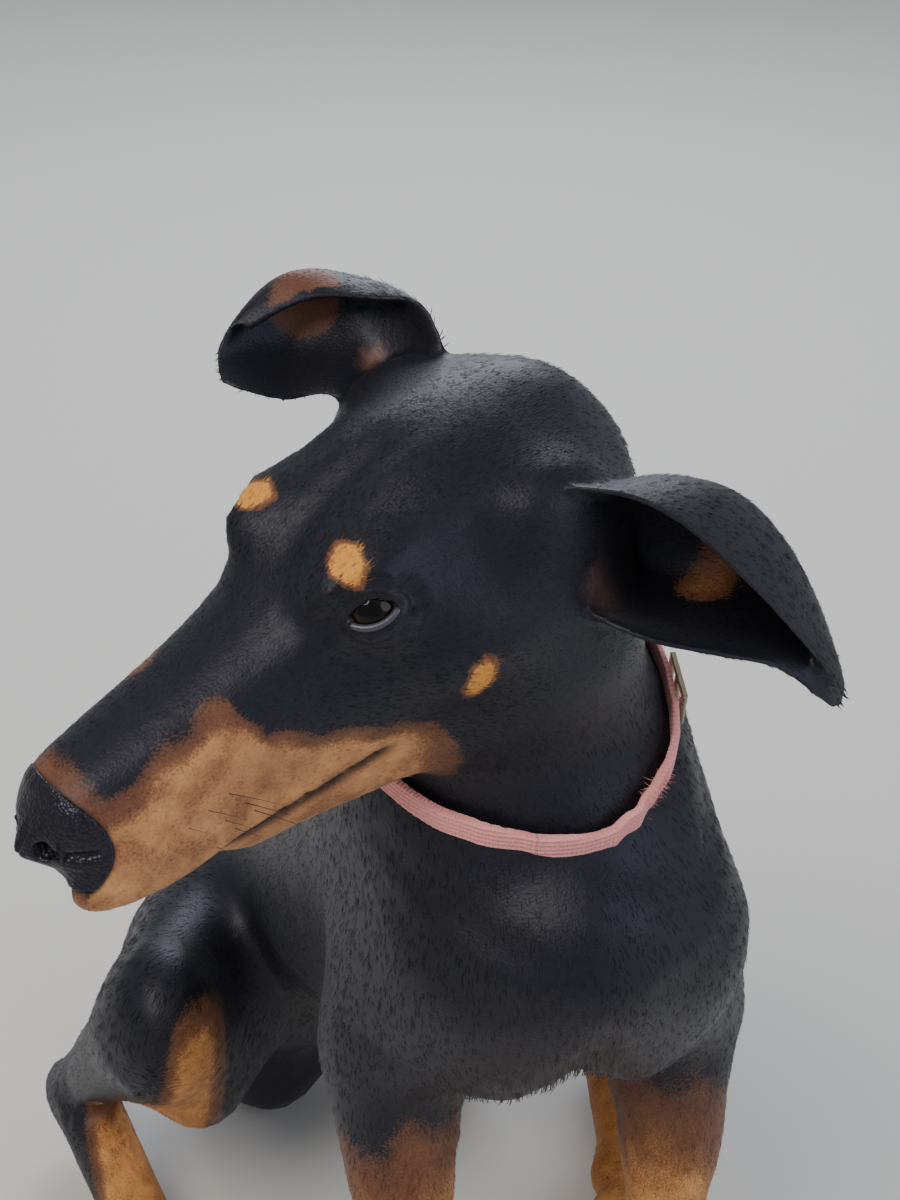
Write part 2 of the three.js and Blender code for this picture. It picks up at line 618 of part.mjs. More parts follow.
// Shapes drawn in the head's frame
const headSolid = (geometry, local = new THREE.Matrix4()) => solidFrom(geometry, headMatrix.clone().multiply(local));
const nosePad = (grow) =>
  headSolid(new THREE.BoxGeometry(44, 30, 40).translate(0, 1 + grow, 7.5 - grow).scale(1, 1, 1));
const MOUTH = [[-12, -24.5], [14, -25], [40, -27.5], [70, -27], [97, -22.5], [104, -60], [-12, -60]];
function jawCell(grow) {
  const shape = new THREE.Shape(MOUTH.map(([y, z]) => new THREE.Vector2(y + (y > 90 ? grow : 0), z + (z > -50 ? grow : 0))));
  const side = new THREE.ExtrudeGeometry(shape, { depth: 80, bevelEnabled: false }).translate(0, 0, -40);
  const upright = new THREE.Matrix4().makeBasis(V(0, 1, 0), V(0, 0, 1), V(1, 0, 0));
  return headSolid(side, upright);
}
const blob = (x, y, z, rx, ry, rz, turn = 0) => {
  const local = new THREE.Matrix4().makeTranslation(x, y, z).multiply(new THREE.Matrix4().makeRotationZ(turn));
  return headSolid(new THREE.IcosahedronGeometry(1, 2).scale(rx, ry, rz), local);
};

// An ear: a curved flap of real thickness, from rows of places across it, root to tip, in the world
const EAR_THICKNESS = 3;
const EAR_ROOT_GAP = 0.8; // between the skull's curve and the root of the ear
const EAR_ROWS = 11;
const EAR_COLUMNS = 11;
const EARS = {
  left: [
    [[6, -36, 424], [9, -20, 421], [13, -10, 429], [7, -18, 450], [-2, -36, 466]],
    [[19, -46, 420], [28, -26, 417], [35, -8, 425], [29, -14, 455], [14, -44, 464]],
    [[38, -50, 415], [50, -34, 415], [59, -16, 427], [51, -22, 453], [29, -52, 455]],
    [[57, -50, 408], [67, -40, 409], [75, -28, 417], [68, -32, 433], [50, -54, 433]],
    [[76, -48, 391], [80, -46, 388], [84, -42, 388], [84, -44, 394], [78, -48, 398]],
  ],
  right: [
    [[-48, 24, 462], [-42, 32, 462], [-34, 38, 462], [-26, 34, 466], [-20, 24, 470]],
    [[-56, 38, 468], [-50, 54, 474], [-42, 62, 482], [-31, 56, 489], [-25, 42, 491]],
    [[-69, 40, 467], [-63, 62, 474], [-57, 70, 492], [-45, 66, 495], [-40, 50, 493]],
    [[-81, 40, 471], [-77, 58, 477], [-72, 66, 490], [-63, 64, 497], [-59, 54, 493]],
    [[-88, 44, 473], [-88, 50, 476], [-86, 54, 481], [-81, 56, 486], [-77, 54, 485]],
  ],
};
function earSheet(rows) {
  const along = rows.map((row) => new THREE.CatmullRomCurve3(row.map((c) => V(...c)), false, "centripetal"));
  const place = (u, v) => {
    const across = new THREE.CatmullRomCurve3(along.map((curve) => curve.getPoint(v)), false, "centripetal");
    return across.getPoint(u);
  };
  const step = 0.01;
  const points = [];
  for (const face of [1, -1])
    for (let i = 0; i <= EAR_ROWS; i++)
      for (let j = 0; j <= EAR_COLUMNS; j++) {
        const u = i / EAR_ROWS;
        const v = j / EAR_COLUMNS;
        const p = place(u, v);
        const du = place(Math.min(u + step, 1), v).sub(place(Math.max(u - step, 0), v));
        const dv = place(u, Math.min(v + step, 1)).sub(place(u, Math.max(v - step, 0)));
        const normal = du.cross(dv).normalize();
        const rim = Math.min(1, 0.45 + 4 * Math.min(v, 1 - v, 1 - u));
        points.push(p.addScaledVector(normal, face * (EAR_THICKNESS / 2) * rim * (1 - 0.25 * u)));
      }
  const wide = EAR_COLUMNS + 1;
  const back = wide * (EAR_ROWS + 1);
  const faces = [];
  const quad = (a, b, c, d) => faces.push([a, b, c], [a, c, d]);
  for (let i = 0; i < EAR_ROWS; i++)
    for (let j = 0; j < EAR_COLUMNS; j++) {
      const a = i * wide + j;
      quad(a, a + wide, a + wide + 1, a + 1);
      faces.push([back + a, back + a + wide + 1, back + a + wide], [back + a, back + a + 1, back + a + wide + 1]);
    }
  for (let i = 0; i < EAR_ROWS; i++) {
    const a = i * wide;
    quad(a, back + a, back + a + wide, a + wide);
    const b = a + EAR_COLUMNS;
    quad(b, b + wide, back + b + wide, back + b);
  }
  for (let j = 0; j < EAR_COLUMNS; j++) {
    quad(j, j + 1, back + j + 1, back + j);
    const b = EAR_ROWS * wide + j;
    quad(b, back + b, back + b + 1, b + 1);
  }
  return solidOf({ at: points, faces });
}

// Eyes: a ball behind an almond opening between the lids
function eyeFrame(s) {
  const out = V(s * 0.68, -0.52, 0.52).normalize();
  const across = V(s * 0.56, 0.8, 0.16);
  across.addScaledVector(out, -across.dot(out)).normalize();
  const up = V().crossVectors(out, across);
  if (up.z < 0) up.negate();
  const right = V().crossVectors(up, out);
  const place = V(s * EYE_PLACE.x, EYE_PLACE.y, EYE_PLACE.z);
  return new THREE.Matrix4().makeBasis(right, up, out).setPosition(place);
}
function lidOpening(s) {
  const shape = new THREE.Shape();
  shape.moveTo(-8.4, -0.6).quadraticCurveTo(-1, 8.2, 8.4, 0.8).quadraticCurveTo(1, -7.2, -8.4, -0.6);
  const prism = new THREE.ExtrudeGeometry(shape, { depth: 24, bevelEnabled: false, curveSegments: 7 });
  return headSolid(prism, eyeFrame(s));
}
for (const [name, s] of [["left", 1], ["right", -1]]) {
  const ball = (radius) => headSolid(new THREE.SphereGeometry(radius, 16, 11), eyeFrame(s));
  solids[`eye_${name}`] = ball(EYE_RADIUS);
  skull = skull.subtract(ball(EYE_RADIUS + GAP)).subtract(lidOpening(s));
}
const whole = skull;
solids.nose = largest(whole.intersect(nosePad(0)));
solids.nose = solids.nose.subtract(blob(6.6, 1.5, -0.5, 2.6, 6, 3.4, -0.3)).subtract(blob(-6.6, 1.5, -0.5, 2.6, 6, 3.4, 0.3));
solids.nose = solids.nose.subtract(headSolid(new THREE.BoxGeometry(0.9, 8, 16).translate(0, 1, -9)));
skull = largest(skull.subtract(nosePad(GAP)));
solids.jaw = largest(whole.intersect(jawCell(0)));
skull = largest(skull.subtract(jawCell(0.7)));
for (const name of ["left", "right"]) {
  const [root] = EARS[name].map((row) => V(...row[2]));
  const [low, high] = [root.clone().subScalar(34), root.clone().addScalar(34)];
  const skin = thin(polygonise((p) => flesh(p) - EAR_ROOT_GAP, low, high, 2.4), 1100);
  solids[`ear_${name}`] = largest(earSheet(EARS[name]).subtract(solidOf(skin)));
}
solids.head = largest(skull);

// Collar: a flat band that follows the neck, with a slide and a ring on its left side
const collarSide = V(1, 0, 0);
const collarBack = V().crossVectors(COLLAR_AXIS, collarSide);
const COLLAR_STEPS = 60;
function neckRadius(angle) {
  const out = V().addScaledVector(collarSide, Math.cos(angle)).addScaledVector(collarBack, Math.sin(angle));
  let low = 20;
  let high = 90;
  for (let i = 0; i < 30; i++) {
    const mid = (low + high) / 2;
    if (flesh(COLLAR_CENTRE.clone().addScaledVector(out, mid)) < 0) low = mid;
    else high = mid;
  }
  return { out, radius: low };
}
function band(inner, outer, half) {
  const points = [];
  for (let i = 0; i < COLLAR_STEPS; i++) {
    const { out, radius } = neckRadius((i / COLLAR_STEPS) * 2 * Math.PI);
    for (const [r, h] of [[inner, -half], [outer, -half], [outer, half], [inner, half]])
      points.push(COLLAR_CENTRE.clone().addScaledVector(out, radius + r).addScaledVector(COLLAR_AXIS, h));
  }
  const faces = [];
  for (let i = 0; i < COLLAR_STEPS; i++)
    for (let c = 0; c < 4; c++) {
      const a = 4 * i + c;
      const b = 4 * i + ((c + 1) % 4);
      const a2 = (a + 4) % points.length;
      const b2 = (b + 4) % points.length;
      faces.push([a, a2, b2], [a, b2, b]);
    }
  return solidOf({ at: points, faces });
}
solids.collar = band(0, COLLAR_THICKNESS, COLLAR_WIDTH / 2);
const collarRoom = band(-GAP, COLLAR_THICKNESS + GAP, COLLAR_WIDTH / 2 + GAP);
for (const name of ["neck", "head", "chest"]) solids[name] = largest(solids[name].subtract(collarRoom));

const SLIDE_ANGLE = degrees(8);
const RING_ANGLE = degrees(34);
function onCollar(angle, lift) {
  const [before, here, after] = [-0.16, 0, 0.16].map((turn) => {
    const { out, radius } = neckRadius(angle + turn);
    return COLLAR_CENTRE.clone().addScaledVector(out, radius + COLLAR_THICKNESS);
  });
  const along = after.clone().sub(before).normalize();
  const outward = V().crossVectors(along, COLLAR_AXIS);
  const bulge = Math.max(0, before.add(after).multiplyScalar(0.5).sub(here).dot(outward));
  const place = here.addScaledVector(outward, bulge + lift);
  return new THREE.Matrix4().makeBasis(along, COLLAR_AXIS, outward).setPosition(place);
}
const slidePlace = onCollar(SLIDE_ANGLE, GAP + 1.2);
solids.collar_slide = solidFrom(new THREE.BoxGeometry(18, 16, 1.8), slidePlace);
for (const x of [-4, 4]) {
  const slot = solidFrom(new THREE.BoxGeometry(5.2, 11.6, 4).translate(x, 0, 0), slidePlace);
  solids.collar_slide = solids.collar_slide.subtract(slot);
}
const ringPlace = onCollar(RING_ANGLE, GAP + 1.7);
solids.collar_ring = solidFrom(new THREE.TorusGeometry(8.5, 1.4, 8, 22), ringPlace);
const slideRoom = solidFrom(new THREE.BoxGeometry(18 + 2 * GAP, 16 + 2 * GAP, 1.8 + 2 * GAP), slidePlace);
const ringRoom = solidFrom(new THREE.TorusGeometry(8.5, 1.4 + GAP, 8, 22), ringPlace);
for (const name of ["neck", "head", "chest"])
  solids[name] = largest(solids[name].subtract(slideRoom).subtract(ringRoom));

for (const name of ["head", "neck", "nose", "jaw"]) solids[name] = cleaned(solids[name]);
for (const name of ["ear_left", "ear_right"]) solids[name] = largest(solids[name].subtract(solids.head));

const COLOURS = {
  coat: { color: 0x17171b, roughness: 0.62, metalness: 0 },
  tan: { color: 0xb07a45, roughness: 0.7, metalness: 0 },
  ear: { color: 0x1b1a1d, roughness: 0.66, metalness: 0 },
  nose: { color: 0x0f0f12, roughness: 0.42, metalness: 0 },
  eye: { color: 0x120c0a, roughness: 0.08, metalness: 0 },
  webbing: { color: 0xf0a0a0, roughness: 0.85, metalness: 0 },
  hardware: { color: 0xb9b4a6, roughness: 0.3, metalness: 1 },
};
const slotOf = (name) => {
  if (name === "nose") return "nose";
  if (name === "collar") return "webbing";
  if (name.startsWith("collar_")) return "hardware";
  if (name.startsWith("eye_")) return "eye";
  if (name.startsWith("ear_")) return "ear";
  if (name === "jaw" || name.includes("paw") || name.includes("foot") || name.startsWith("foreleg")) return "tan";
  return "coat";
};
const dog = new THREE.Group();
dog.name = "doberman_puppy";
for (const [name, solid] of Object.entries(solids)) {
  const mesh = new THREE.Mesh(geometryOf(solid), new THREE.MeshStandardMaterial(COLOURS[slotOf(name)]));
  mesh.name = name;
  dog.add(mesh);
}
// The origin is on the floor under the middle of the whole figure
const middleOfAll = new THREE.Box3().setFromObject(dog).getCenter(V());
for (const mesh of dog.children) mesh.geometry.translate(-middleOfAll.x, -middleOfAll.y, 0);
export default dog;
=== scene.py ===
# %% [markdown]
# # A young doberman, sitting
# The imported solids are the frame. One skin takes the place of the flesh nodes, and the eyes, nose,
# claws and collar stay pieces of their own. Lengths are in metres in the row frame: the dog faces -Y,
# its own left is +X, and the floor is Z = 0.

# %% Load the frame
import json
import math
import bpy
import bmesh
import numpy as np
from mathutils import Matrix, Vector

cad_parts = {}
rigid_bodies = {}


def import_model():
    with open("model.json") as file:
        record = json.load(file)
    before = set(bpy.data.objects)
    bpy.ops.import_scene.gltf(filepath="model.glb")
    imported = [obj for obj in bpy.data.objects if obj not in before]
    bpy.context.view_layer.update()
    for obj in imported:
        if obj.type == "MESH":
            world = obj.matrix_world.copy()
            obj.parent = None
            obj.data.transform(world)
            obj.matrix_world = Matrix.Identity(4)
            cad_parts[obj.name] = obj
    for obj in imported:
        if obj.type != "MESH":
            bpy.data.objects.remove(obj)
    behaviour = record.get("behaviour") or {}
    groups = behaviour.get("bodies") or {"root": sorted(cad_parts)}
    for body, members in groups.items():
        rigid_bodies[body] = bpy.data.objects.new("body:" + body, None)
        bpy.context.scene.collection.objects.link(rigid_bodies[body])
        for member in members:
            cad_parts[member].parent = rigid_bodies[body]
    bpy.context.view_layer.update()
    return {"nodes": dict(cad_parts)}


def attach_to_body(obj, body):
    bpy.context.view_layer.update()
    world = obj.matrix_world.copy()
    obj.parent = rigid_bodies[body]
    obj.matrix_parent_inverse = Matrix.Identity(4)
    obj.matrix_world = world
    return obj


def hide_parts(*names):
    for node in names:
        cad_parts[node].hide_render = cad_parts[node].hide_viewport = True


for leftover in list(bpy.data.objects):
    bpy.data.objects.remove(leftover, do_unlink=True)
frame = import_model()
nodes = frame["nodes"]

# %% [markdown]
# ## Small helpers
# Colours are written as sRGB hex, as read off a photograph, and turned into linear values once here.
# `attach` sets a piece on the root body and hides the solids it stands for.

# %% Colour and piece helpers
MM = 0.001


def colour(code, alpha=1.0):
    parts = [int(code[i:i + 2], 16) / 255 for i in (1, 3, 5)]
    linear = [c / 12.92 if c <= 0.04045 else ((c + 0.055) / 1.055) ** 2.4 for c in parts]
    return (*linear, alpha)


def attach(piece, slot, *replaced):
    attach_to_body(piece, "root")
    if replaced:
        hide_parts(*replaced)


def shade_smooth(piece):
    piece.data.polygons.foreach_set("use_smooth", np.ones(len(piece.data.polygons), dtype=bool))
    piece.data.update()


def link(piece):
    bpy.context.scene.collection.objects.link(piece)
    return piece


def mesh_from(name, points, faces):
    data = bpy.data.meshes.new(name)
    data.from_pydata([tuple(p) for p in points], [], [tuple(f) for f in faces])
    data.validate()
    data.update()
    return link(bpy.data.objects.new(name, data))


def only_select(*pieces):
    bpy.ops.object.select_all(action="DESELECT")
    for piece in pieces:
        piece.select_set(True)
    bpy.context.view_layer.objects.active = pieces[0]


def coordinates(piece):
    flat = np.empty(len(piece.data.vertices) * 3, dtype=np.float32)
    piece.data.vertices.foreach_get("co", flat)
    return flat.reshape(-1, 3).astype(np.float64)


def set_coordinates(piece, points):
    piece.data.vertices.foreach_set("co", points.astype(np.float32).ravel())
    piece.data.update()


def vertex_normals(piece):
    flat = np.empty(len(piece.data.vertices) * 3, dtype=np.float32)
    piece.data.vertex_normals.foreach_get("vector", flat)
    return flat.reshape(-1, 3).astype(np.float64)


# %% [markdown]
# ## The head's own frame
# The head is turned 66 degrees to the dog's right, its nose 17 degrees down and its left side a
# little lower. Features of the face are placed in the head's frame, where Y runs back from the
# nose tip, Z is up and X is the dog's left, all in millimetres.

# %% Head frame
SHIFT = np.array([2.185, -201.122, 0.0])
HEAD_PIVOT = np.array([-8.0, 15.0, 440.0])
HEAD_PIVOT_IN_HEAD = np.array([0.0, 175.0, 5.0])
turn = (
    Matrix.Rotation(math.radians(-66), 3, "Z")
    @ Matrix.Rotation(math.radians(17), 3, "X")
    @ Matrix.Rotation(math.radians(7), 3, "Y")
)
HEAD_TURN = np.array(turn)


def head_to_row(points):
    """Head-frame millimetres to row-frame metres."""
    points = np.asarray(points, dtype=float)
    return ((points - HEAD_PIVOT_IN_HEAD) @ HEAD_TURN.T + HEAD_PIVOT + SHIFT) * MM


def row_to_head(points):
    return (np.asarray(points, dtype=float) / MM - SHIFT - HEAD_PIVOT) @ HEAD_TURN + HEAD_PIVOT_IN_HEAD


def body_mm(points):
    """Row-frame metres to the millimetres that the body is measured in."""
    return np.asarray(points, dtype=float) / MM - SHIFT


print("nose tip", head_to_row([0, 0, 0]).round(3), "occiput", head_to_row([0, 200, 24]).round(3))

# %% [markdown]
# ## One skin from the flesh solids
# Copies of the flesh nodes and two ear flaps with roots that run into the skull are joined, and a
# voxel remesh closes the narrow gaps between them, so no seam is left.

# %% Ear flaps
EAR_ROWS = {
    "left": [
        [[0, -30, 428], [5, -16, 425], [7, -6, 431], [2, -14, 450], [-6, -30, 462]],
        [[6, -36, 424], [9, -20, 421], [13, -10, 429], [7, -18, 450], [-2, -36, 466]],
        [[19, -46, 420], [28, -26, 417], [35, -8, 425], [29, -14, 455], [14, -44, 464]],
        [[38, -50, 415], [50, -34, 415], [59, -16, 427], [51, -22, 453], [29, -52, 455]],
        [[57, -50, 408], [67, -40, 409], [75, -28, 417], [68, -32, 433], [50, -54, 433]],
        [[76, -48, 391], [80, -46, 388], [84, -42, 388], [84, -44, 394], [78, -48, 398]],
    ],
    "right": [
        [[-48, 24, 462], [-42, 32, 462], [-34, 38, 462], [-26, 34, 466], [-20, 24, 470]],
        [[-56, 38, 468], [-50, 54, 474], [-42, 62, 482], [-31, 56, 489], [-25, 42, 491]],
        [[-69, 40, 467], [-63, 62, 474], [-57, 70, 492], [-45, 66, 495], [-40, 50, 493]],
        [[-81, 40, 471], [-77, 58, 477], [-72, 66, 490], [-63, 64, 497], [-59, 54, 493]],
        [[-88, 44, 473], [-88, 50, 476], [-86, 54, 481], [-81, 56, 486], [-77, 54, 485]],
    ],
}


def smooth_curve(values, t):
    """Catmull-Rom through the rows of `values` at positions t in 0..1."""
    values = np.asarray(values, dtype=float)
    last = len(values) - 1
    x = np.clip(np.asarray(t, dtype=float), 0, 1) * last
    i = np.minimum(x.astype(int), last - 1)
    f = (x - i).reshape(-1, *([1] * (values.ndim - 1)))
    a = values[np.maximum(i - 1, 0)]
    b = values[i]
    c = values[i + 1]
    d = values[np.minimum(i + 2, last)]
    return 0.5 * (2 * b + (c - a) * f + (2 * a - 5 * b + 4 * c - d) * f**2 + (3 * b - a - 3 * c + d) * f**3)


def ear_grid(rows, along, across):
    """Middle surface of an ear in row-frame metres, as an (along, across, 3) grid."""
    v = np.linspace(0, 1, across)
    u = np.linspace(0, 1, along)
    lines = np.stack([smooth_curve(row, v) for row in rows])
    return (smooth_curve(lines, u) + SHIFT) * MM


def grid_normals(grid):
    du = np.gradient(grid, axis=0)
    dv = np.gradient(grid, axis=1)
    normal = np.cross(du, dv)
    return normal / np.maximum(np.linalg.norm(normal, axis=2, keepdims=True), 1e-12)


EAR_ALONG, EAR_ACROSS = 56, 44
ear_middles = {}
ear_copies = []
for side, rows in EAR_ROWS.items():
    grid = ear_grid(rows, EAR_ALONG, EAR_ACROSS)
    ear_middles[side] = grid
    normal = grid_normals(grid)
    u = np.linspace(0, 1, EAR_ALONG)[:, None, None]
    v = np.linspace(0, 1, EAR_ACROSS)[None, :, None]
    rim = np.clip(0.55 + 5 * np.minimum(np.minimum(v, 1 - v), 1 - u), 0, 1)
    half = 1.45 * MM * rim * (1 - 0.2 * u)
    top = (grid + half * normal).reshape(-1, 3)
    low = (grid - half * normal).reshape(-1, 3)
    count = len(top)
    faces = []
    for i in range(EAR_ALONG - 1):
        for j in range(EAR_ACROSS - 1):
            a = i * EAR_ACROSS + j
            quad = (a, a + EAR_ACROSS, a + EAR_ACROSS + 1, a + 1)
            faces.append(quad)
            faces.append(tuple(count + k for k in reversed(quad)))
    border = [j for j in range(EAR_ACROSS)]
    border += [i * EAR_ACROSS + EAR_ACROSS - 1 for i in range(1, EAR_ALONG)]
    border += [(EAR_ALONG - 1) * EAR_ACROSS + j for j in range(EAR_ACROSS - 2, -1, -1)]
    border += [i * EAR_ACROSS for i in range(EAR_ALONG - 2, 0, -1)]
    for a, b in zip(border, border[1:] + border[:1]):
        faces.append((a, b, count + b, count + a))
    ear = mesh_from(f"ear_flap_{side}", np.concatenate([top, low]), faces)
    ear_copies.append(ear)
print("ear reach", ear_middles["left"][-1, 20].round(3), ear_middles["right"][-1, 20].round(3))

# %% Join the flesh and close the gaps
FLESH = ["head", "jaw", "neck", "chest", "loin", "rump", "tail"]
LIMBS = ("foreleg", "forepaw", "hindleg", "hindfoot")
FLESH += [f"{limb}_{side}" for limb in LIMBS for side in ("left", "right")]
VOXEL = 1.5 * MM
copies = []
for name in FLESH:
    copy = link(bpy.data.objects.new(f"copy_{name}", nodes[name].data.copy()))
    copy.matrix_world = nodes[name].matrix_world.copy()
    copies.append(copy)
# Fillers close the sockets and the notch that the nose pad leaves
for name in ("eye_left", "eye_right", "nose"):
    copy = link(bpy.data.objects.new(f"copy_{name}", nodes[name].data.copy()))
    copy.matrix_world = nodes[name].matrix_world.copy()
    copies.append(copy)
only_select(*copies, *ear_copies)
bpy.context.view_layer.objects.active = copies[0]
bpy.ops.object.join()
skin = bpy.context.view_layer.objects.active
bpy.ops.object.transform_apply(location=True, rotation=True, scale=True)
skin.name = "skin"
skin.data.name = "skin"
swell = skin.modifiers.new("swell", "DISPLACE")
swell.strength = 0.35 * MM
swell.mid_level = 0.0
bpy.ops.object.modifier_apply(modifier="swell")
skin.data.remesh_voxel_size = VOXEL
skin.data.remesh_voxel_adaptivity = 0
bpy.ops.object.voxel_remesh()
print("skin vertices", len(skin.data.vertices), "faces", len(skin.data.polygons))

# %% [markdown]
# ## Smoothing by region
# The trunk loses its facets under many passes, the face keeps more of its form, and ears and toes get
# only a few passes. Each pass moves a vertex towards the mean of its neighbours and then part way
# back, so the form doesn't shrink.

# %% Smooth
def edge_pairs(piece):
    """Pairs of joined vertices, and how many neighbours each vertex has."""
    flat = np.empty(len(piece.data.edges) * 2, dtype=np.int32)
    piece.data.edges.foreach_get("vertices", flat)
    count = np.bincount(flat, minlength=len(piece.data.vertices))
    return flat.reshape(-1, 2), count[:, None]


edges, degree = edge_pairs(skin)
points = coordinates(skin)


def neighbour_mean(values):
    total = np.zeros_like(values)
    for k in range(values.shape[1]):
        total[:, k] = np.bincount(edges[:, 0], values[edges[:, 1], k], len(values))
        total[:, k] += np.bincount(edges[:, 1], values[edges[:, 0], k], len(values))
    return total / np.maximum(degree, 1)


def ramp(x, low, high):
    """0 below low, 1 above high, smooth between."""
    t = np.clip((x - low) / (high - low), 0, 1)
    return t * t * (3 - 2 * t)


def near_ear(points):
    """0 far from the ear flaps, 1 on them and outside the skull."""
    result = np.zeros(len(points))
    head = row_to_head(points)
    outward = np.abs(head[:, 0])
    result = ramp(outward, 46, 54) * ramp(head[:, 1], 120, 140)
    upward = ramp(head[:, 2], 50, 56) * ramp(head[:, 1], 140, 150) * (outward > 24)
    return np.maximum(result, upward)


head_points = row_to_head(points)
body_points = body_mm(points)
on_head = ramp(-head_points[:, 1], -185, -165) * ramp(head_points[:, 2], -52, -44)
on_ear = near_ear(points)
on_foot = 1 - ramp(body_points[:, 2], 34, 60)
strength = 1 - 0.62 * on_head
strength = strength * (1 - 0.85 * on_ear) * (1 - 0.72 * on_foot)
strength = strength[:, None]
PASSES = 34
for index in range(PASSES):
    gentle = strength * (0.5 if index % 2 == 0 else -0.51)
    points = points + gentle * (neighbour_mean(points) - points)
for index in range(6):
    points = points + 0.5 * strength * (neighbour_mean(points) - points)
set_coordinates(skin, points)
print("smoothed", PASSES)

# %% [markdown]
# ## Sculpting the skin
# The eyes sink behind almond openings, the mouth gets its line, and shallow folds and muscles are
# pressed in by short formulas in the head's frame and the body's frame.

# %% Thin the skin
face_weight = ramp(-row_to_head(points)[:, 1], -150, -120) * ramp(row_to_head(points)[:, 2], -50, -40)
thin_group = skin.vertex_groups.new(name="thin_here")
thin_group.add(np.flatnonzero(face_weight < 0.3).tolist(), 1.0, "REPLACE")
thin_group.add(np.flatnonzero(face_weight >= 0.3).tolist(), 0.12, "REPLACE")
THIN_TO = 0.26
thinning = skin.modifiers.new("thinning", "DECIMATE")
thinning.ratio = THIN_TO
thinning.vertex_group = "thin_here"
bpy.context.view_layer.objects.active = skin
bpy.ops.object.modifier_apply(modifier="thinning")
print("thinned to", len(skin.data.polygons), "faces")

# %% Finer faces round the eyes
EYE_CENTRE = np.array([23.5, 108.0, 24.5])
EYE_RADIUS = 9.8


def eye_axes(side):
    """Rows: along the opening, up it, and out of it, in the head's frame."""
    out = np.array([side * 0.68, -0.52, 0.52])
    out /= np.linalg.norm(out)
    along = np.array([side * 0.56, 0.8, 0.10])
    along -= out * (along @ out)
    along /= np.linalg.norm(along)
    up = np.cross(out, along)
    if up[2] < 0:
        up = -up
    return np.array([along, up, out])


def eye_local(points, side):
    centre = EYE_CENTRE * [side, 1, 1]
    return (row_to_head(points) - centre) @ eye_axes(side).T


def eye_to_row(local, side):
    centre = EYE_CENTRE * [side, 1, 1]
    return head_to_row(np.asarray(local) @ eye_axes(side) + centre)


work = bmesh.new()
work.from_mesh(skin.data)
work.verts.ensure_lookup_table()
located = np.array([v.co for v in work.verts])
close = np.zeros(len(located), dtype=bool)
for side in (1, -1):
    local = eye_local(located, side)
    close |= (np.linalg.norm(local, axis=1) < 19) & (local[:, 2] > 0)
fine_edges = [e for e in work.edges if close[e.verts[0].index] and close[e.verts[1].index]]
bmesh.ops.subdivide_edges(work, edges=fine_edges, cuts=1, use_grid_fill=True, smooth=0.0)
bmesh.ops.triangulate(work, faces=work.faces)
work.to_mesh(skin.data)
work.free()
print("skin triangles", len(skin.data.polygons))

# %% [markdown]
# The solids are faceted, so after thinning the trunk gets many more passes, which reach further on
# the coarser mesh. Head, ears, legs and feet are left out.

# %% Smooth the wide faces of the trunk
edges, degree = edge_pairs(skin)
points = coordinates(skin)
head_points, body_points = row_to_head(points), body_mm(points)
trunk = 1 - ramp(-head_points[:, 1], -215, -185) * ramp(head_points[:, 2], -60, -50)
trunk = trunk * ramp(body_points[:, 2], 55, 90) * (1 - near_ear(points) * (1 - trunk))
rump_low = ramp(body_points[:, 1], 225, 250) * ramp(body_points[:, 2], 8, 20)
rump_low = rump_low * (np.abs(body_points[:, 0]) < 92)
trunk = np.maximum(trunk, rump_low * (1 - ramp(body_points[:, 1], 345, 360)))[:, None]
TRUNK_PASSES, CLOSING_PASSES = 70, 14
for index in range(TRUNK_PASSES):
    points = points + trunk * (0.6 if index % 2 == 0 else -0.61) * (neighbour_mean(points) - points)
for index in range(CLOSING_PASSES):
    points = points + 0.5 * trunk * (neighbour_mean(points) - points)
set_coordinates(skin, points)
print("trunk share", float(trunk.mean()))

# %% Press the forms in
OPEN_HALF = 8.6


def lid_height(along, upper):
    """Half height of the open eye at a place along it, in millimetres."""
    t = np.clip(1 - (along / OPEN_HALF) ** 2, 0, 1)
    return (4.3 if upper else 4.2) * t**0.75


def past_opening(local):
    """Millimetres from the edge of the open eye, negative inside it."""
    along, up = local[:, 0], local[:, 1]
    limit = np.where(up > 0, lid_height(along, True), lid_height(along, False))
    past_corner = np.abs(along) - OPEN_HALF
    return np.where(past_corner > 0, np.hypot(past_corner, up), np.abs(up) - limit)


points = coordinates(skin)
normals = vertex_normals(skin)
head_points = row_to_head(points)
body_points = body_mm(points)
on_head = ramp(-head_points[:, 1], -185, -165) * ramp(head_points[:, 2], -52, -44)
hx, hy, hz = np.abs(head_points[:, 0]), head_points[:, 1], head_points[:, 2]
bx, by, bz = body_points.T


def bump(distance, width):
    return np.exp(-((distance / width) ** 2))


def on_nose_pad(head, edge=0.8):
    """1 on the bare pad of the nose, 0 on the hair around it."""
    x, y, z = np.abs(head[:, 0]), head[:, 1], head[:, 2]
    back_edge = 15.2 - np.where(z > 1, 0.026, 0.055) * (z - 1) ** 2
    return ramp(back_edge - y, -edge, edge) * ramp(z, -12.5, -11.5) * (x < 26) * (z < 30)


mouth_line = np.interp(hy, [0, 14, 40, 70, 97], [-24, -25, -27.5, -27, -22.5])
in_mouth = ramp(hy, 6, 14) * (1 - ramp(hy, 94, 100)) * ramp(hx, 2, 8)
press = -1.5 * bump(hz - mouth_line, 1.5) * in_mouth * on_head
press += 0.7 * bump(hz - mouth_line - 4, 3) * in_mouth * on_head
# Corner of the mouth, furrow of the forehead, hollow of the temple, cheek
press += -1.0 * bump(np.hypot(hy - 99, (hz + 23) * 1.4), 4) * on_head * ramp(hx, 18, 24)
press += -0.9 * bump(hx, 5) * bump(hy - 118, 26) * ramp(hz, 30, 38)
press += -0.8 * bump(np.hypot(hy - 138, hz - 30), 12) * ramp(hx, 30, 38) * on_head
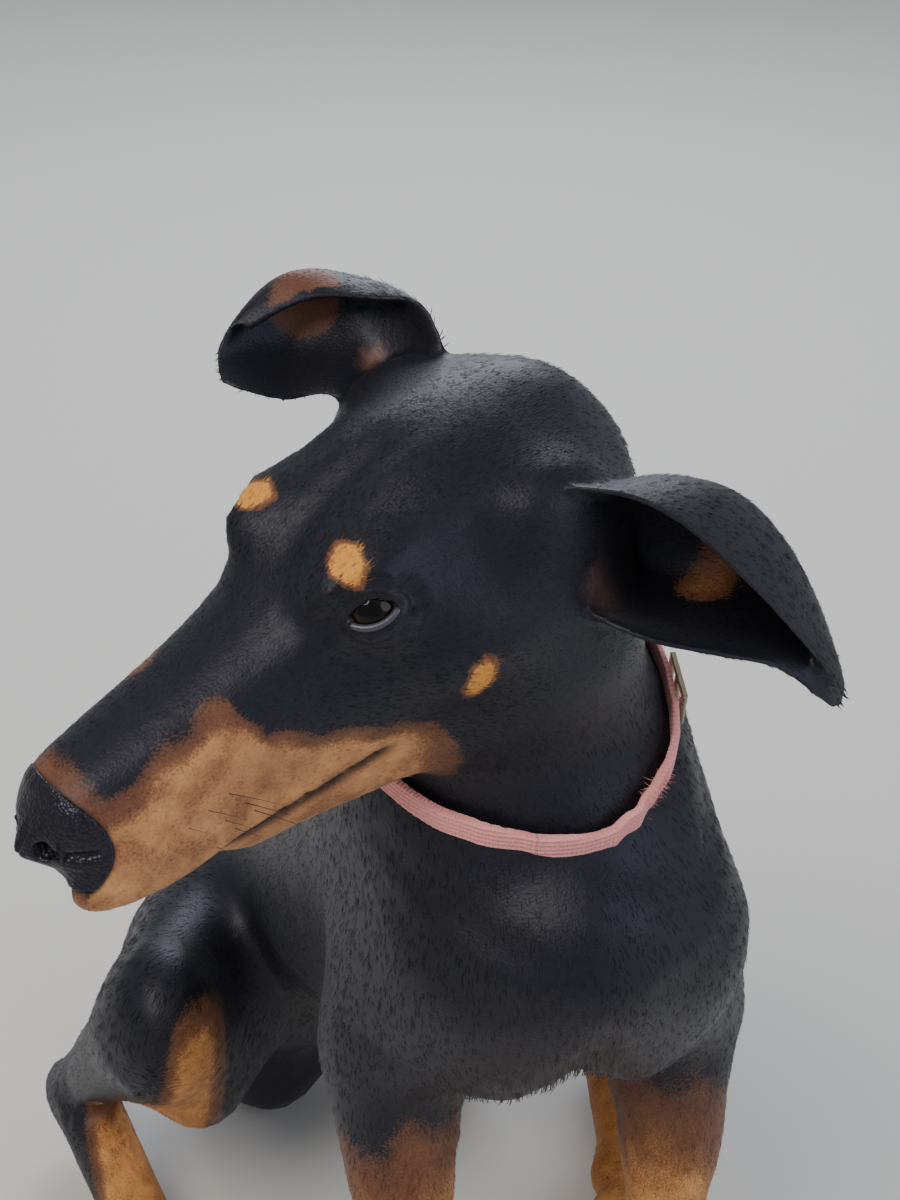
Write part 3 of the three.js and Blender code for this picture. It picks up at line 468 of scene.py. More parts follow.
# Whisker bed: rows of low pits
pits = np.sin(hy * 0.9) * np.sin(hz * 1.1)
press += 0.22 * np.clip(pits, 0, 1) * bump(hy - 32, 16) * bump(hz + 12, 9) * ramp(hx, 10, 15) * on_head
# Chest: a groove down the middle, and the edges of the breast muscles
FORE_MID = 12.0
front = ramp(-by, -25, 5) * ramp(bz, 215, 235) * (1 - ramp(bz, 310, 330))
press += -2.4 * bump(bx - FORE_MID + 2, 6) * front * ramp(-bz, -300, -262)
press += -0.9 * bump(bz - 238 - 0.25 * np.abs(bx - FORE_MID), 5) * front
# Brisket: fuller between the forelegs
under = bump(bx - FORE_MID, 26) * (1 - ramp(bz, 205, 240)) * ramp(by, -50, -25) * (1 - ramp(by, 60, 100))
press += 5.5 * under * ramp(bz, 190, 198)
# Neck: loose folds below the collar
fold = by * -0.42 + bz * 0.9
press += -0.7 * bump(fold - 300, 4) * ramp(-by, -30, 0) * ramp(bz, 300, 315)
press += -0.5 * bump(fold - 286, 4) * ramp(-by, -30, 0) * ramp(bz, 290, 305)
# Shoulder blade, ribs, loin and thigh
flank = ramp(np.abs(bx - 4), 34, 52)
blade = np.abs((by - 44) * 0.82 + (bz - 330) * 0.57)
press += 0.8 * bump(blade, 7) * flank * ramp(bz, 270, 290) * (1 - ramp(bz, 370, 385))
rib = (by * 0.62 + bz * 0.10) * 0.36
press += 0.35 * np.sin(rib) * flank * ramp(by, 85, 105) * (1 - ramp(by, 175, 195)) * ramp(bz, 195, 230)
press += -0.9 * bump((by - 196) * 0.8 - (bz - 190) * 0.6, 12) * flank * ramp(bz, 130, 160)
# Backbone
press += 0.7 * bump(bx - 2, 4) * ramp(normals[:, 2], 0.2, 0.6) * ramp(by, 90, 120)
# Hollow before the heel's tendon
tendon = np.hypot(by - 240, bz - 74)
press += -1.6 * bump(tendon, 10) * ramp(np.abs(bx), 100, 112)
# Clefts between the toes
SOLES = ((FORE_MID + 47, -22, 0), (FORE_MID - 47, -22, 0), (106, 156, 0.08), (-106, 156, -0.08))
for sole_x, sole_y, spread in SOLES:
    dx, dy = bx - sole_x, by - sole_y
    c, s = math.cos(-spread), math.sin(-spread)
    across = c * dx + s * dy
    ahead = -(-s * dx + c * dy)
    for cleft in (-11.2, 0.0, 11.2):
        at_cleft = bump(across - cleft * np.clip(0.55 + ahead / 60, 0.5, 1.0), 1.5)
        press += -1.6 * at_cleft * ramp(ahead, 2, 12) * (1 - ramp(ahead, 40, 48)) * (1 - ramp(bz, 24, 34))
press += -1.4 * on_nose_pad(head_points + [0, 1.6, 0])
press += -2.2 * bump(np.hypot(hx - 6.6, hz + 0.5), 3.5) * (hy < 10)
points = points + normals * (press[:, None] * MM)
COAT_DEPTH = 0.45
points -= normals * (COAT_DEPTH * MM)

# Lids: the skin hugs the eyeball and opens over it
for side in (1, -1):
    local = eye_local(points, side)
    up = local[:, 1]
    radius = np.linalg.norm(local, axis=1)
    facing = (local[:, 2] > 0.5) & (radius < 24)
    beyond = past_opening(local)
    outside = np.clip(beyond, 0, None)
    lid = EYE_RADIUS + 1.5 + 0.10 * outside + 0.9 * bump(outside - 3.2, 1.6)
    lid -= 0.7 * bump(outside - 5.6, 1.2) * (up > 0)
    hug = 1 - ramp(outside, 2.5, 9.0)
    target = radius + (lid - radius) * hug
    target = np.where(beyond < 0, EYE_RADIUS - 2.0, target)
    new = local * (np.where(facing, target, radius) / np.maximum(radius, 1e-6))[:, None]
    points = np.where(facing[:, None], eye_to_row(new, side), points)
points[:, 2] = np.maximum(points[:, 2], 0.0003)
set_coordinates(skin, points)
shade_smooth(skin)
print("pressed", float(np.abs(press).max()))

# %% [markdown]
# ## Markings and lie of the coat
# One function gives how tan the coat is at a place, and one gives the way the hair lies there. The
# skin and every tuft take their markings from the first, and the tufts lie by the second.

# %% Markings
def tan_amount(points):
    head = row_to_head(points)
    body = body_mm(points)
    x, y, z = np.abs(head[:, 0]), head[:, 1], head[:, 2]
    wobble = 1.2 * np.sin(head[:, 1] * 0.31 + head[:, 0] * 0.2) + 0.8 * np.sin(head[:, 2] * 0.7 + 1.3)
    on_face = ramp(-y, -186, -168) * ramp(z, -56, -48)
    tan_top_y = [10, 22, 35, 52, 61, 66, 80, 96, 114, 121]
    tan_top_z = [4, 8, 11, 15, 14, 2, -6, -13, -20, -34]
    edge = np.interp(y, tan_top_y, tan_top_z)
    muzzle = ramp(edge - z + wobble, -8.0, 6.5) * (1 - ramp(y + 0.5 * wobble, 104, 124))
    muzzle = muzzle * ramp(x + 0.5 * wobble, 6, 17)
    muzzle = np.maximum(muzzle, 0.46 * bump(y - 12, 7) * ramp(z, 2, 8))
    throat = (1 - ramp(y, 100, 122)) * ramp(-z, 30, 40)
    uneven = 0.05 * np.sin(x * 0.8 + 1) + 0.04 * np.sin(y * 0.9 + z * 0.5)
    brow_x = x - 21.5 + 0.3 * (y - 104)
    brow_gap = np.sqrt((brow_x / 7.6) ** 2 + ((y - 104) / 6.2) ** 2 + ((z - 43) / 9) ** 2)
    brow = 1 - ramp(brow_gap + uneven, 0.60, 1.18)
    cheek_gap = np.sqrt(((x - 47) / 10) ** 2 + ((y - 124 - 0.25 * z) / 5.4) ** 2 + ((z + 1) / 8.4) ** 2)
    cheek = 1 - ramp(cheek_gap + uneven, 0.55, 1.2)
    face = np.maximum.reduce([0.84 * muzzle, 0.7 * throat * (1 - muzzle), brow, 0.92 * cheek]) * on_face
    bx, by, bz = body.T
    ripple = 4 * np.sin(bx * 0.23 + bz * 0.11) + 3 * np.sin(by * 0.19 + 0.8)
    side = np.abs(bx - 12.0)
    fore = (by < 70) * (bz < 260)
    behind = ramp(by - 6 - 0.10 * bz, -2, 12)
    outer = ramp(side, 52, 62)
    start = 206 + ripple - 46 * behind * (0.4 + 0.6 * outer) - 10 * outer
    leg = fore * (1 - ramp(bz, start - 46, start + 30))
    flank_x = np.abs(bx)
    knee = (by > 105) * (bz > 34) * (1 - ramp(flank_x, 92 + 0.16 * (170 - bz), 104 + 0.16 * (170 - bz)))
    knee = knee * ramp(flank_x, 72, 88) * (1 - ramp(by, 150 + 0.75 * (160 - bz), 172 + 0.75 * (160 - bz)))
    knee = knee * (1 - ramp(bz, 150, 178))
    foot = (by > 95) * (bz < 60) * (flank_x > 78) * (1 - ramp(by + 0.5 * ripple, 226, 256))
    foot = foot * (1 - 0.85 * ramp(flank_x, 124, 132))
    vent_gap = np.sqrt(((bx + 6) / 20) ** 2 + ((by - 336) / 16) ** 2 + ((bz - 34) / 22) ** 2)
    vent = 1 - ramp(vent_gap, 0.7, 1.2)
    below = np.maximum.reduce([0.80 * leg, 0.85 * knee, 0.80 * foot, 0.8 * vent])
    mark = np.maximum(face, below)
    gold = np.maximum.reduce([brow * on_face, cheek * on_face, 0.45 * below])
    # Inner faces of the ears
    for which, grid in ear_middles.items():
        centre = grid[22:34, 14:26].reshape(-1, 3).mean(axis=0)
        normal = grid_normals(grid)[22:34, 14:26].reshape(-1, 3).mean(axis=0)
        normal /= np.linalg.norm(normal)
        reach = 13 * MM if which == "left" else 15 * MM
        offset = points - centre
        height = offset @ normal
        flat = np.linalg.norm(offset - height[:, None] * normal, axis=1)
        inner = ear_inner_sign[which] * height > (-2.0 if which == "left" else 0.2) * MM
        spot = (1 - ramp(flat, 0.55 * reach, reach)) * (np.abs(height) < 14 * MM) * inner
        mark = np.maximum(mark, (0.60 if which == "left" else 0.40) * spot * near_ear(points))
    return np.clip(mark, 0, 1), np.clip(gold, 0, 1)


ear_inner_sign = {}
for which, grid in ear_middles.items():
    mid_normal = grid_normals(grid)[28, 20]
    rim_centre = 0.5 * (grid[28, 2] + grid[28, -3])
    ear_inner_sign[which] = 1.0 if (rim_centre - grid[28, 20]) @ mid_normal > 0 else -1.0


def head_mm(point):
    return head_to_row(np.array(point, dtype=float)) / MM - SHIFT


# Guides: where the hair starts, where it points to, and how strongly it leads
GUIDES = [
    (head_mm([0, 0, 5]), head_mm([0, 90, 22]), 1.0),
    (head_mm([0, 90, 30]), head_mm([0, 190, 36]), 1.0),
    (head_mm([30, 20, -10]), head_mm([36, 130, -14]), 1.0),
    (head_mm([-30, 20, -10]), head_mm([-36, 130, -14]), 1.0),
    (head_mm([44, 120, 0]), head_mm([42, 185, -24]), 1.0),
    (head_mm([-44, 120, 0]), head_mm([-42, 185, -24]), 1.0),
    ([-8, -24, 390], [6, -52, 300], 1.3),
    ([-8, 60, 430], [0, 100, 380], 1.3),
    ([34, 10, 390], [58, 0, 300], 1.2),
    ([-52, 10, 380], [-42, 0, 300], 1.2),
    ([10, -50, 300], [12, -20, 225], 1.4),
    ([4, 100, 390], [-4, 320, 150], 1.6),
    ([60, 80, 330], [62, 240, 150], 1.3),
    ([-56, 80, 330], [-66, 240, 150], 1.3),
    ([8, 40, 205], [0, 220, 120], 1.2),
    ([62, 10, 290], [60, 20, 100], 1.3),
    ([-38, 10, 290], [-36, 20, 100], 1.3),
    ([59, 0, 100], [59, -14, 20], 1.0),
    ([-35, 0, 100], [-35, -14, 20], 1.0),
    ([59, -14, 24], [59, -60, 8], 1.0),
    ([-35, -14, 24], [-35, -60, 8], 1.0),
    ([60, 270, 130], [104, 150, 146], 1.2),
    ([-60, 270, 130], [-104, 150, 146], 1.2),
    ([104, 160, 150], [128, 262, 44], 1.1),
    ([-104, 160, 150], [-128, 262, 44], 1.1),
    ([128, 262, 40], [106, 130, 12], 1.0),
    ([-128, 262, 40], [-106, 130, 12], 1.0),
    ([-6, 310, 110], [0, 382, 17], 1.2),
    ([0, 382, 17], [72, 450, 8], 1.0),
    ([72, 450, 8], [156, 454, 4], 1.0),
]


def lie_of_coat(points):
    """Unit directions in which the hair lies, before they are laid into the surface."""
    body = body_mm(points)
    total = np.zeros_like(body)
    for start, end, weight in GUIDES:
        start, end = np.asarray(start, float), np.asarray(end, float)
        direction = (end - start) / np.linalg.norm(end - start)
        for t in (0.0, 0.25, 0.5, 0.75, 1.0):
            gap2 = ((body - (start + t * (end - start))) ** 2).sum(axis=1)
            total += direction * (weight / (gap2 + 60.0) ** 1.6)[:, None]
    for grid in ear_middles.values():
        for row in (16, 28, 40):
            place = grid[row, 20] / MM - SHIFT
            direction = grid[row + 8, 20] - grid[row - 8, 20]
            direction = direction / np.linalg.norm(direction)
            gap2 = ((body - place) ** 2).sum(axis=1)
            total += direction * (1.4 / (gap2 + 60.0) ** 1.6)[:, None]
    return total / np.maximum(np.linalg.norm(total, axis=1, keepdims=True), 1e-12)


def add_float(piece, name, values):
    layer = piece.data.attributes.new(name, "FLOAT", "POINT")
    layer.data.foreach_set("value", np.asarray(values, dtype=np.float32))


points = coordinates(skin)
mark, gold = tan_amount(points)
add_float(skin, "mark", mark)
add_float(skin, "gold", gold)
add_float(skin, "shade", np.full(len(points), 0.5))
print("tan share", float(mark.mean()))

# %% [markdown]
# ## Bare places
# Lip lines, lid edges and the shell of the ear have bare skin instead of hair, so they get
# attributes of their own that the coat's material reads.

# %% Lip and bare skin
head_points = row_to_head(points)
hx, hy, hz = np.abs(head_points[:, 0]), head_points[:, 1], head_points[:, 2]
mouth_line = np.interp(hy, [0, 14, 40, 70, 97], [-24, -25, -27.5, -27, -22.5])
lip = bump(hz - mouth_line, 2.0) * ramp(hy, 4, 12) * (1 - ramp(hy, 96, 104)) * ramp(hx, 1, 5)
lip = np.maximum(lip, bump(np.hypot(hy - 4, hz + 13), 3.5) * (hx < 18))
lip = np.maximum(lip, on_nose_pad(head_points, 1.2))
for side in (1, -1):
    local = eye_local(points, side)
    beyond = past_opening(local)
    near = (np.linalg.norm(local, axis=1) < 22) & (local[:, 2] > 0)
    lip = np.maximum(lip, (1 - ramp(beyond, 1.2, 3.2)) * near)
bare = np.zeros(len(points))
for which, grid in ear_middles.items():
    rows_used = (4, 22) if which == "left" else (3, 12)
    centre = grid[rows_used[0]:rows_used[1], 10:34].reshape(-1, 3).mean(axis=0)
    normal = grid_normals(grid)[rows_used[0]:rows_used[1], 10:34].reshape(-1, 3).mean(axis=0)
    normal /= np.linalg.norm(normal)
    offset = points - centre
    height = offset @ normal * ear_inner_sign[which]
    flat = np.linalg.norm(offset - (offset @ normal)[:, None] * normal, axis=1)
    reach = 17 * MM if which == "left" else 9 * MM
    bare = np.maximum(bare, (1 - ramp(flat, 0.5 * reach, reach)) * (height > -1 * MM) * (height < 20 * MM))
bare *= near_ear(points)
add_float(skin, "lip", np.clip(lip, 0, 1))
add_float(skin, "bare", np.clip(bare, 0, 1))
print("lip share", float(lip.mean()), "bare share", float(bare.mean()))

# %% [markdown]
# ## Unwrap
# The skin is cut into islands by the turn of its own surface. Tufts borrow the place of their root.

# %% Unwrap the skin
only_select(skin)
bpy.ops.object.mode_set(mode="EDIT")
bpy.ops.mesh.select_all(action="SELECT")
bpy.ops.uv.smart_project(angle_limit=math.radians(72), island_margin=0.002)
bpy.ops.object.mode_set(mode="OBJECT")
skin.data.uv_layers.active.name = "OFBake"
print("uv layer", skin.data.uv_layers.active.name, "triangles", len(skin.data.polygons))

# %% [markdown]
# ## Materials
# `add` puts a node in a tree with its settings and links in one line.

# %% Node helper
def new_material(name):
    material = bpy.data.materials.new(name)
    material.use_nodes = True
    tree = material.node_tree
    tree.nodes.clear()
    surface = tree.nodes.new("ShaderNodeBsdfPrincipled")
    output = tree.nodes.new("ShaderNodeOutputMaterial")
    tree.links.new(surface.outputs["BSDF"], output.inputs["Surface"])
    return material, tree, surface


def add(tree, kind, inputs=None, **settings):
    node = tree.nodes.new(kind)
    for key, value in settings.items():
        setattr(node, key, value)
    for key, value in (inputs or {}).items():
        if isinstance(value, bpy.types.NodeSocket):
            tree.links.new(value, node.inputs[key])
        else:
            node.inputs[key].default_value = value
    return node


def mix(tree, factor, first, second, blend="MIX"):
    node = tree.nodes.new("ShaderNodeMix")
    node.data_type = "RGBA"
    node.blend_type = blend
    for index, value in ((0, factor), (6, first), (7, second)):
        if isinstance(value, bpy.types.NodeSocket):
            tree.links.new(value, node.inputs[index])
        else:
            node.inputs[index].default_value = value
    return node.outputs[2]


def read(tree, name):
    return add(tree, "ShaderNodeAttribute", attribute_name=name, attribute_type="GEOMETRY").outputs["Fac"]


def calc(tree, operation, first, second=0.5, clamp=False):
    node = tree.nodes.new("ShaderNodeMath")
    node.operation = operation
    node.use_clamp = clamp
    for index, value in ((0, first), (1, second)):
        if isinstance(value, bpy.types.NodeSocket):
            tree.links.new(value, node.inputs[index])
        else:
            node.inputs[index].default_value = value
    return node.outputs[0]


def own_place(tree):
    return add(tree, "ShaderNodeTexCoord").outputs["Object"]


def noise(tree, place, scale, detail):
    settings = {"Vector": place, "Scale": scale, "Detail": detail}
    return add(tree, "ShaderNodeTexNoise", settings).outputs["Fac"]


def remap(tree, value, low, high, to_low=0.0, to_high=1.0):
    """Map low..high to to_low..to_high, clamped."""
    settings = {"Value": value, "From Min": low, "From Max": high, "To Min": to_low, "To Max": to_high}
    return add(tree, "ShaderNodeMapRange", settings).outputs["Result"]


# %% Coat
coat, tree, surface = new_material("short_coat")
place = own_place(tree)
mark_value = read(tree, "mark")
patches = noise(tree, place, 90.0, 4.0)
grain = noise(tree, place, 1300.0, 3.0)
ragged = calc(tree, "ADD", mark_value, calc(tree, "MULTIPLY", calc(tree, "SUBTRACT", grain, 0.5), 0.42))
ragged = calc(tree, "ADD", ragged, calc(tree, "MULTIPLY", calc(tree, "SUBTRACT", patches, 0.5), 0.16))
amount = remap(tree, ragged, 0.14, 0.8)
black_hair = mix(tree, grain, colour("#06060A"), colour("#181820"))
brown_hair = mix(tree, grain, colour("#4A2A1A"), colour("#6E4228"))
mottle = remap(tree, patches, 0.36, 0.66)
tan_hair = mix(tree, mottle, colour("#7E4A28"), colour("#B98250"))
tan_hair = mix(tree, calc(tree, "MULTIPLY", grain, 0.4), tan_hair, colour("#D2A271"))
golden = mix(tree, grain, colour("#B8721F"), colour("#E2A04A"))
tan_hair = mix(tree, read(tree, "gold"), tan_hair, golden)
edge = calc(tree, "MULTIPLY", amount, calc(tree, "SUBTRACT", 1.0, amount))
edge = calc(tree, "MULTIPLY", edge, 3.0, True)
hair = mix(tree, amount, black_hair, tan_hair)
hair = mix(tree, edge, hair, brown_hair)
shade = read(tree, "shade")
hair = mix(tree, 1.0, hair, mix(tree, shade, (0.72, 0.72, 0.72, 1), (1.3, 1.3, 1.3, 1)), "MULTIPLY")
bare_skin = mix(tree, patches, colour("#8E6152"), colour("#B98A78"))
hair = mix(tree, calc(tree, "MULTIPLY", read(tree, "bare"), 0.8), hair, bare_skin)
hair = mix(tree, read(tree, "lip"), hair, colour("#0E0D10"))
tree.links.new(hair, surface.inputs["Base Color"])
rough = remap(tree, amount, 0.0, 1.0, 0.47, 0.64)
rough = calc(tree, "SUBTRACT", rough, calc(tree, "MULTIPLY", read(tree, "lip"), 0.08))
tree.links.new(rough, surface.inputs["Roughness"])
surface.inputs["Sheen Weight"].default_value = 0.07
surface.inputs["Sheen Roughness"].default_value = 0.45
surface.inputs["Sheen Tint"].default_value = colour("#C9CFE0")
surface.inputs["Specular IOR Level"].default_value = 0.42
surface.inputs["Specular Tint"].default_value = colour("#D6D8EC")
fine_hair = noise(tree, place, 1100.0, 2.0)
wide_hair = noise(tree, place, 260.0, 3.0)
height = calc(tree, "ADD", calc(tree, "MULTIPLY", fine_hair, 0.5), calc(tree, "MULTIPLY", wide_hair, 0.5))
fur_bump = add(tree, "ShaderNodeBump", {"Height": height, "Strength": 0.5, "Distance": 0.0006})
tree.links.new(fur_bump.outputs["Normal"], surface.inputs["Normal"])
skin.data.materials.clear()
skin.data.materials.append(coat)
attach(skin, "coat", *FLESH, "ear_left", "ear_right")
print("coat nodes", len(tree.nodes))

# %% [markdown]
# ## Tufts
# A short coat shows as thousands of thin, flat-lying tufts. Each is a three-sided tapered blade with
# its root sunk in the skin. They are shortest on the face and feet, and stand off a little where the
# real coat breaks the form: back of the neck, whorl of the chest, back of the thighs, under the tail.

# %% Sample roots
rng = np.random.default_rng(11)
data = skin.data
data.calc_loop_triangles()
tri_flat = np.empty(len(data.loop_triangles) * 3, dtype=np.int32)
data.loop_triangles.foreach_get("vertices", tri_flat)
triangles = tri_flat.reshape(-1, 3)
loop_flat = np.empty(len(data.loop_triangles) * 3, dtype=np.int32)
data.loop_triangles.foreach_get("loops", loop_flat)
tri_loops = loop_flat.reshape(-1, 3)
uv_flat = np.empty(len(data.loops) * 2, dtype=np.float32)
data.uv_layers["OFBake"].data.foreach_get("uv", uv_flat)
loop_uv = uv_flat.reshape(-1, 2)
normals = vertex_normals(skin)
corners = points[triangles]
area = 0.5 * np.linalg.norm(np.cross(corners[:, 1] - corners[:, 0], corners[:, 2] - corners[:, 0]), axis=1)
middle = corners.mean(axis=1)
middle_head = row_to_head(middle)
tri_head = ramp(-middle_head[:, 1], -190, -165) * ramp(middle_head[:, 2], -54, -46)
tri_foot = 1 - ramp(middle[:, 2] / MM, 30, 50)
tri_bare = np.clip(lip, 0, 1)[triangles].max(axis=1) + 0.8 * bare[triangles].max(axis=1)
density = (1 + 1.9 * tri_head + 0.7 * tri_foot) * np.clip(1 - 1.4 * tri_bare, 0, 1)
density[middle[:, 2] < 1.5 * MM] = 0
TUFTS = 88000
chance = area * density
chosen = rng.choice(len(triangles), size=TUFTS, p=chance / chance.sum())
r1, r2 = np.sqrt(rng.random(TUFTS)), rng.random(TUFTS)
bary = np.stack([1 - r1, r1 * (1 - r2), r1 * r2], axis=1)[:, :, None]
roots = (corners[chosen] * bary).sum(axis=1)
root_normal = (normals[triangles[chosen]] * bary).sum(axis=1)
root_normal /= np.maximum(np.linalg.norm(root_normal, axis=1, keepdims=True), 1e-9)
root_uv = (loop_uv[tri_loops[chosen]] * bary).sum(axis=1)
print("skin area m2", float(area.sum()), "tufts", TUFTS)

# %% Shape the tufts
lie = lie_of_coat(roots)
lie -= root_normal * (lie * root_normal).sum(axis=1, keepdims=True)
lie /= np.maximum(np.linalg.norm(lie, axis=1, keepdims=True), 1e-9)
across = np.cross(root_normal, lie)
head = row_to_head(roots)
body = body_mm(roots)
at_head = ramp(-head[:, 1], -190, -165) * ramp(head[:, 2], -54, -46)
at_muzzle = at_head * (1 - ramp(head[:, 1], 60, 100))
at_foot = 1 - ramp(body[:, 2], 30, 55)
at_ear = near_ear(roots)
x, y, z = body.T
nape = bump(np.hypot(x + 6, y - 74), 26) * ramp(z, 345, 370)
whorl = bump(np.hypot(x - 8, z - 262) / 1.6, 12) * ramp(-y, -5, 15)
thigh = bump(y - 318, 26) * (z > 25) * (z < 150)
under_tail = ramp(y, 372, 392) * (z < 20)
belly = ramp(-root_normal[:, 2], 0.35, 0.8) * (z > 90) * (z < 260)
breaks = np.clip(nape + whorl + thigh + under_tail + 0.6 * belly, 0, 1)
length = 4.8 - 2.0 * at_head - 0.9 * at_muzzle - 2.0 * at_foot - 0.8 * at_ear * at_head
length = np.clip(length + 2.6 * breaks - 0.9 * at_ear, 1.4, None) * rng.uniform(0.75, 1.25, TUFTS)
lift = 0.06 + 0.20 * breaks + rng.normal(0, 0.02, TUFTS)
lift = np.clip(lift, 0.03, 0.40)
width = (0.18 - 0.06 * at_head - 0.03 * at_foot) * rng.uniform(0.75, 1.25, TUFTS)
swing = rng.normal(0, 0.14, TUFTS)
lie = lie * np.cos(swing)[:, None] + across * np.sin(swing)[:, None]
across = np.cross(root_normal, lie)
length, width, lift = (length * MM)[:, None], (width * MM)[:, None], lift[:, None]
start = roots - root_normal * (0.25 * MM)
middle_point = roots + lie * length * 0.5 + root_normal * (length * lift * 0.8)
tip_point = roots + lie * length + root_normal * (length * lift)
SIDES = [(1.0, 0.0), (-0.5, 0.75), (-0.5, -0.75)]
TUFT_HEIGHT, TUFT_BREADTH, FLOOR_CLEARANCE = 0.38, 1.33, 0.2
rings = []
for centre, size in ((start, 0.8), (middle_point, 1.0)):
    for up, aside in SIDES:
        high = root_normal * (up * TUFT_HEIGHT * width * size)
        wide = across * (aside * TUFT_BREADTH * width * size)
        rings.append(centre + high + wide)
tuft_points = np.stack(rings + [tip_point], axis=1)
tuft_points[:, :, 2] = np.maximum(tuft_points[:, :, 2], FLOOR_CLEARANCE * MM)
TUFT_FACES = np.array([
    (0, 1, 2),
    (0, 4, 1), (0, 3, 4), (1, 5, 2), (1, 4, 5), (2, 3, 0), (2, 5, 3),
    (3, 6, 4), (4, 6, 5), (5, 6, 3),
])
# Where the seven vertices of a tuft lie in its patch, and half the patch's size on the unwrap
PATCH_HALF = 0.0015
PATCH = np.array([(-1, -1), (0, -1), (1, -1), (-0.8, 0.2), (0, 0.2), (0.8, 0.2), (0, 1)]) * PATCH_HALF
tuft_mark, tuft_gold = tan_amount(roots)
tuft_shade = np.clip(rng.normal(0.5, 0.24, TUFTS), 0, 1)
tuft_bare = (bare[triangles[chosen]] * bary[:, :, 0]).sum(axis=1)
print("length mm", float(length.min() / MM), float(length.max() / MM))

# %% Build the coat pieces
PIECE = 17600
order = np.argsort(roots[:, 1])
for number, begin in enumerate(range(0, TUFTS, PIECE)):
    pick = order[begin:begin + PIECE]
    count = len(pick)
    vertices = tuft_points[pick].reshape(-1, 3)
    index = (np.arange(count)[:, None, None] * 7 + TUFT_FACES[None]).reshape(-1, 3)
    tuft_data = bpy.data.meshes.new(f"coat_tufts_{number}")
    tuft_data.vertices.add(len(vertices))
    tuft_data.vertices.foreach_set("co", vertices.astype(np.float32).ravel())
    tuft_data.loops.add(index.size)
    tuft_data.loops.foreach_set("vertex_index", index.astype(np.int32).ravel())
    tuft_data.polygons.add(len(index))
    tuft_data.polygons.foreach_set("loop_start", np.arange(0, index.size, 3, dtype=np.int32))
    layer = tuft_data.uv_layers.new(name="OFBake")
    vertex_uv = (root_uv[pick][:, None, :] + PATCH[None]).reshape(-1, 2)
    layer.data.foreach_set("uv", vertex_uv[index.ravel()].astype(np.float32).ravel())
    tuft_data.update(calc_edges=True)
    tufts = link(bpy.data.objects.new(f"coat_tufts_{number}", tuft_data))
    add_float(tufts, "mark", np.repeat(tuft_mark[pick], 7))
    add_float(tufts, "gold", np.repeat(tuft_gold[pick], 7))
    add_float(tufts, "shade", np.repeat(tuft_shade[pick], 7))
    add_float(tufts, "bare", np.repeat(tuft_bare[pick], 7))
    add_float(tufts, "lip", np.zeros(count * 7))
    tuft_data.materials.append(coat)
    shade_smooth(tufts)
    own = vertex_normals(tufts)
    soft = own * 0.3 + np.repeat(root_normal[pick], 7, axis=0)
    soft /= np.linalg.norm(soft, axis=1, keepdims=True)
    tuft_data.normals_split_custom_set_from_vertices(soft.tolist())
    attach(tufts, "coat")
    print(tufts.name, count, "tufts", len(tuft_data.polygons), "triangles")

# %% [markdown]
# ## Eyes
# A young dog's dark brown eye: a ball set deep behind the lids, with the pupil, the iris and a thin
# rim of white told apart by the angle from the gaze, under a wet surface.

# %% Eyeballs
wet_eye, tree, surface = new_material("wet_eye")
angle = read(tree, "from_gaze")
streaks = noise(tree, own_place(tree), 900.0, 3.0)
iris = mix(tree, streaks, colour("#0D0806"), colour("#24150D"))
pupil_edge = remap(tree, angle, 17.0, 20.0)
white_edge = remap(tree, angle, 41.0, 46.0)
ball = mix(tree, pupil_edge, colour("#030304"), iris)
ball = mix(tree, white_edge, ball, colour("#1E1614"))
tree.links.new(ball, surface.inputs["Base Color"])
surface.inputs["Roughness"].default_value = 0.06
surface.inputs["IOR"].default_value = 1.36
surface.inputs["Specular IOR Level"].default_value = 0.4
for side, name in ((1, "eye_left"), (-1, "eye_right")):
    bpy.ops.mesh.primitive_uv_sphere_add(segments=64, ring_count=32, radius=EYE_RADIUS * MM)
    eyeball = bpy.context.active_object
    eyeball.name = f"eyeball_{name[4:]}"
    local = coordinates(eyeball) / MM
    angles = np.degrees(np.arccos(np.clip(local[:, 2] / EYE_RADIUS, -1, 1)))
    cornea = 0.7 * np.clip(1 - (angles / 36) ** 2, 0, 1)
    local = local * (1 + cornea / EYE_RADIUS)[:, None]
    set_coordinates(eyeball, eye_to_row(local, side))
    add_float(eyeball, "from_gaze", angles)
    shade_smooth(eyeball)
    eyeball.data.materials.append(wet_eye)
    attach(eyeball, "eye", name)
    print(eyeball.name, coordinates(eyeball).mean(axis=0).round(4))

# %% Lid rims
bare_dark, tree, surface = new_material("dark_moist_skin")
place = own_place(tree)
skin_noise = noise(tree, place, 1500.0, 3.0)
dark_skin = mix(tree, skin_noise, colour("#0C0B0E"), colour("#1E1C22"))
# Along the lower lid the rim is painted a lighter bluish grey: a painted highlight on the wet lower lid.
dark_skin = mix(tree, read(tree, "lower"), dark_skin, colour("#3B3946"))
tree.links.new(dark_skin, surface.inputs["Base Color"])
surface.inputs["Roughness"].default_value = 0.36
lid_bump = add(tree, "ShaderNodeBump", {"Height": skin_noise, "Strength": 0.35, "Distance": 0.0003})
tree.links.new(lid_bump.outputs["Normal"], surface.inputs["Normal"])


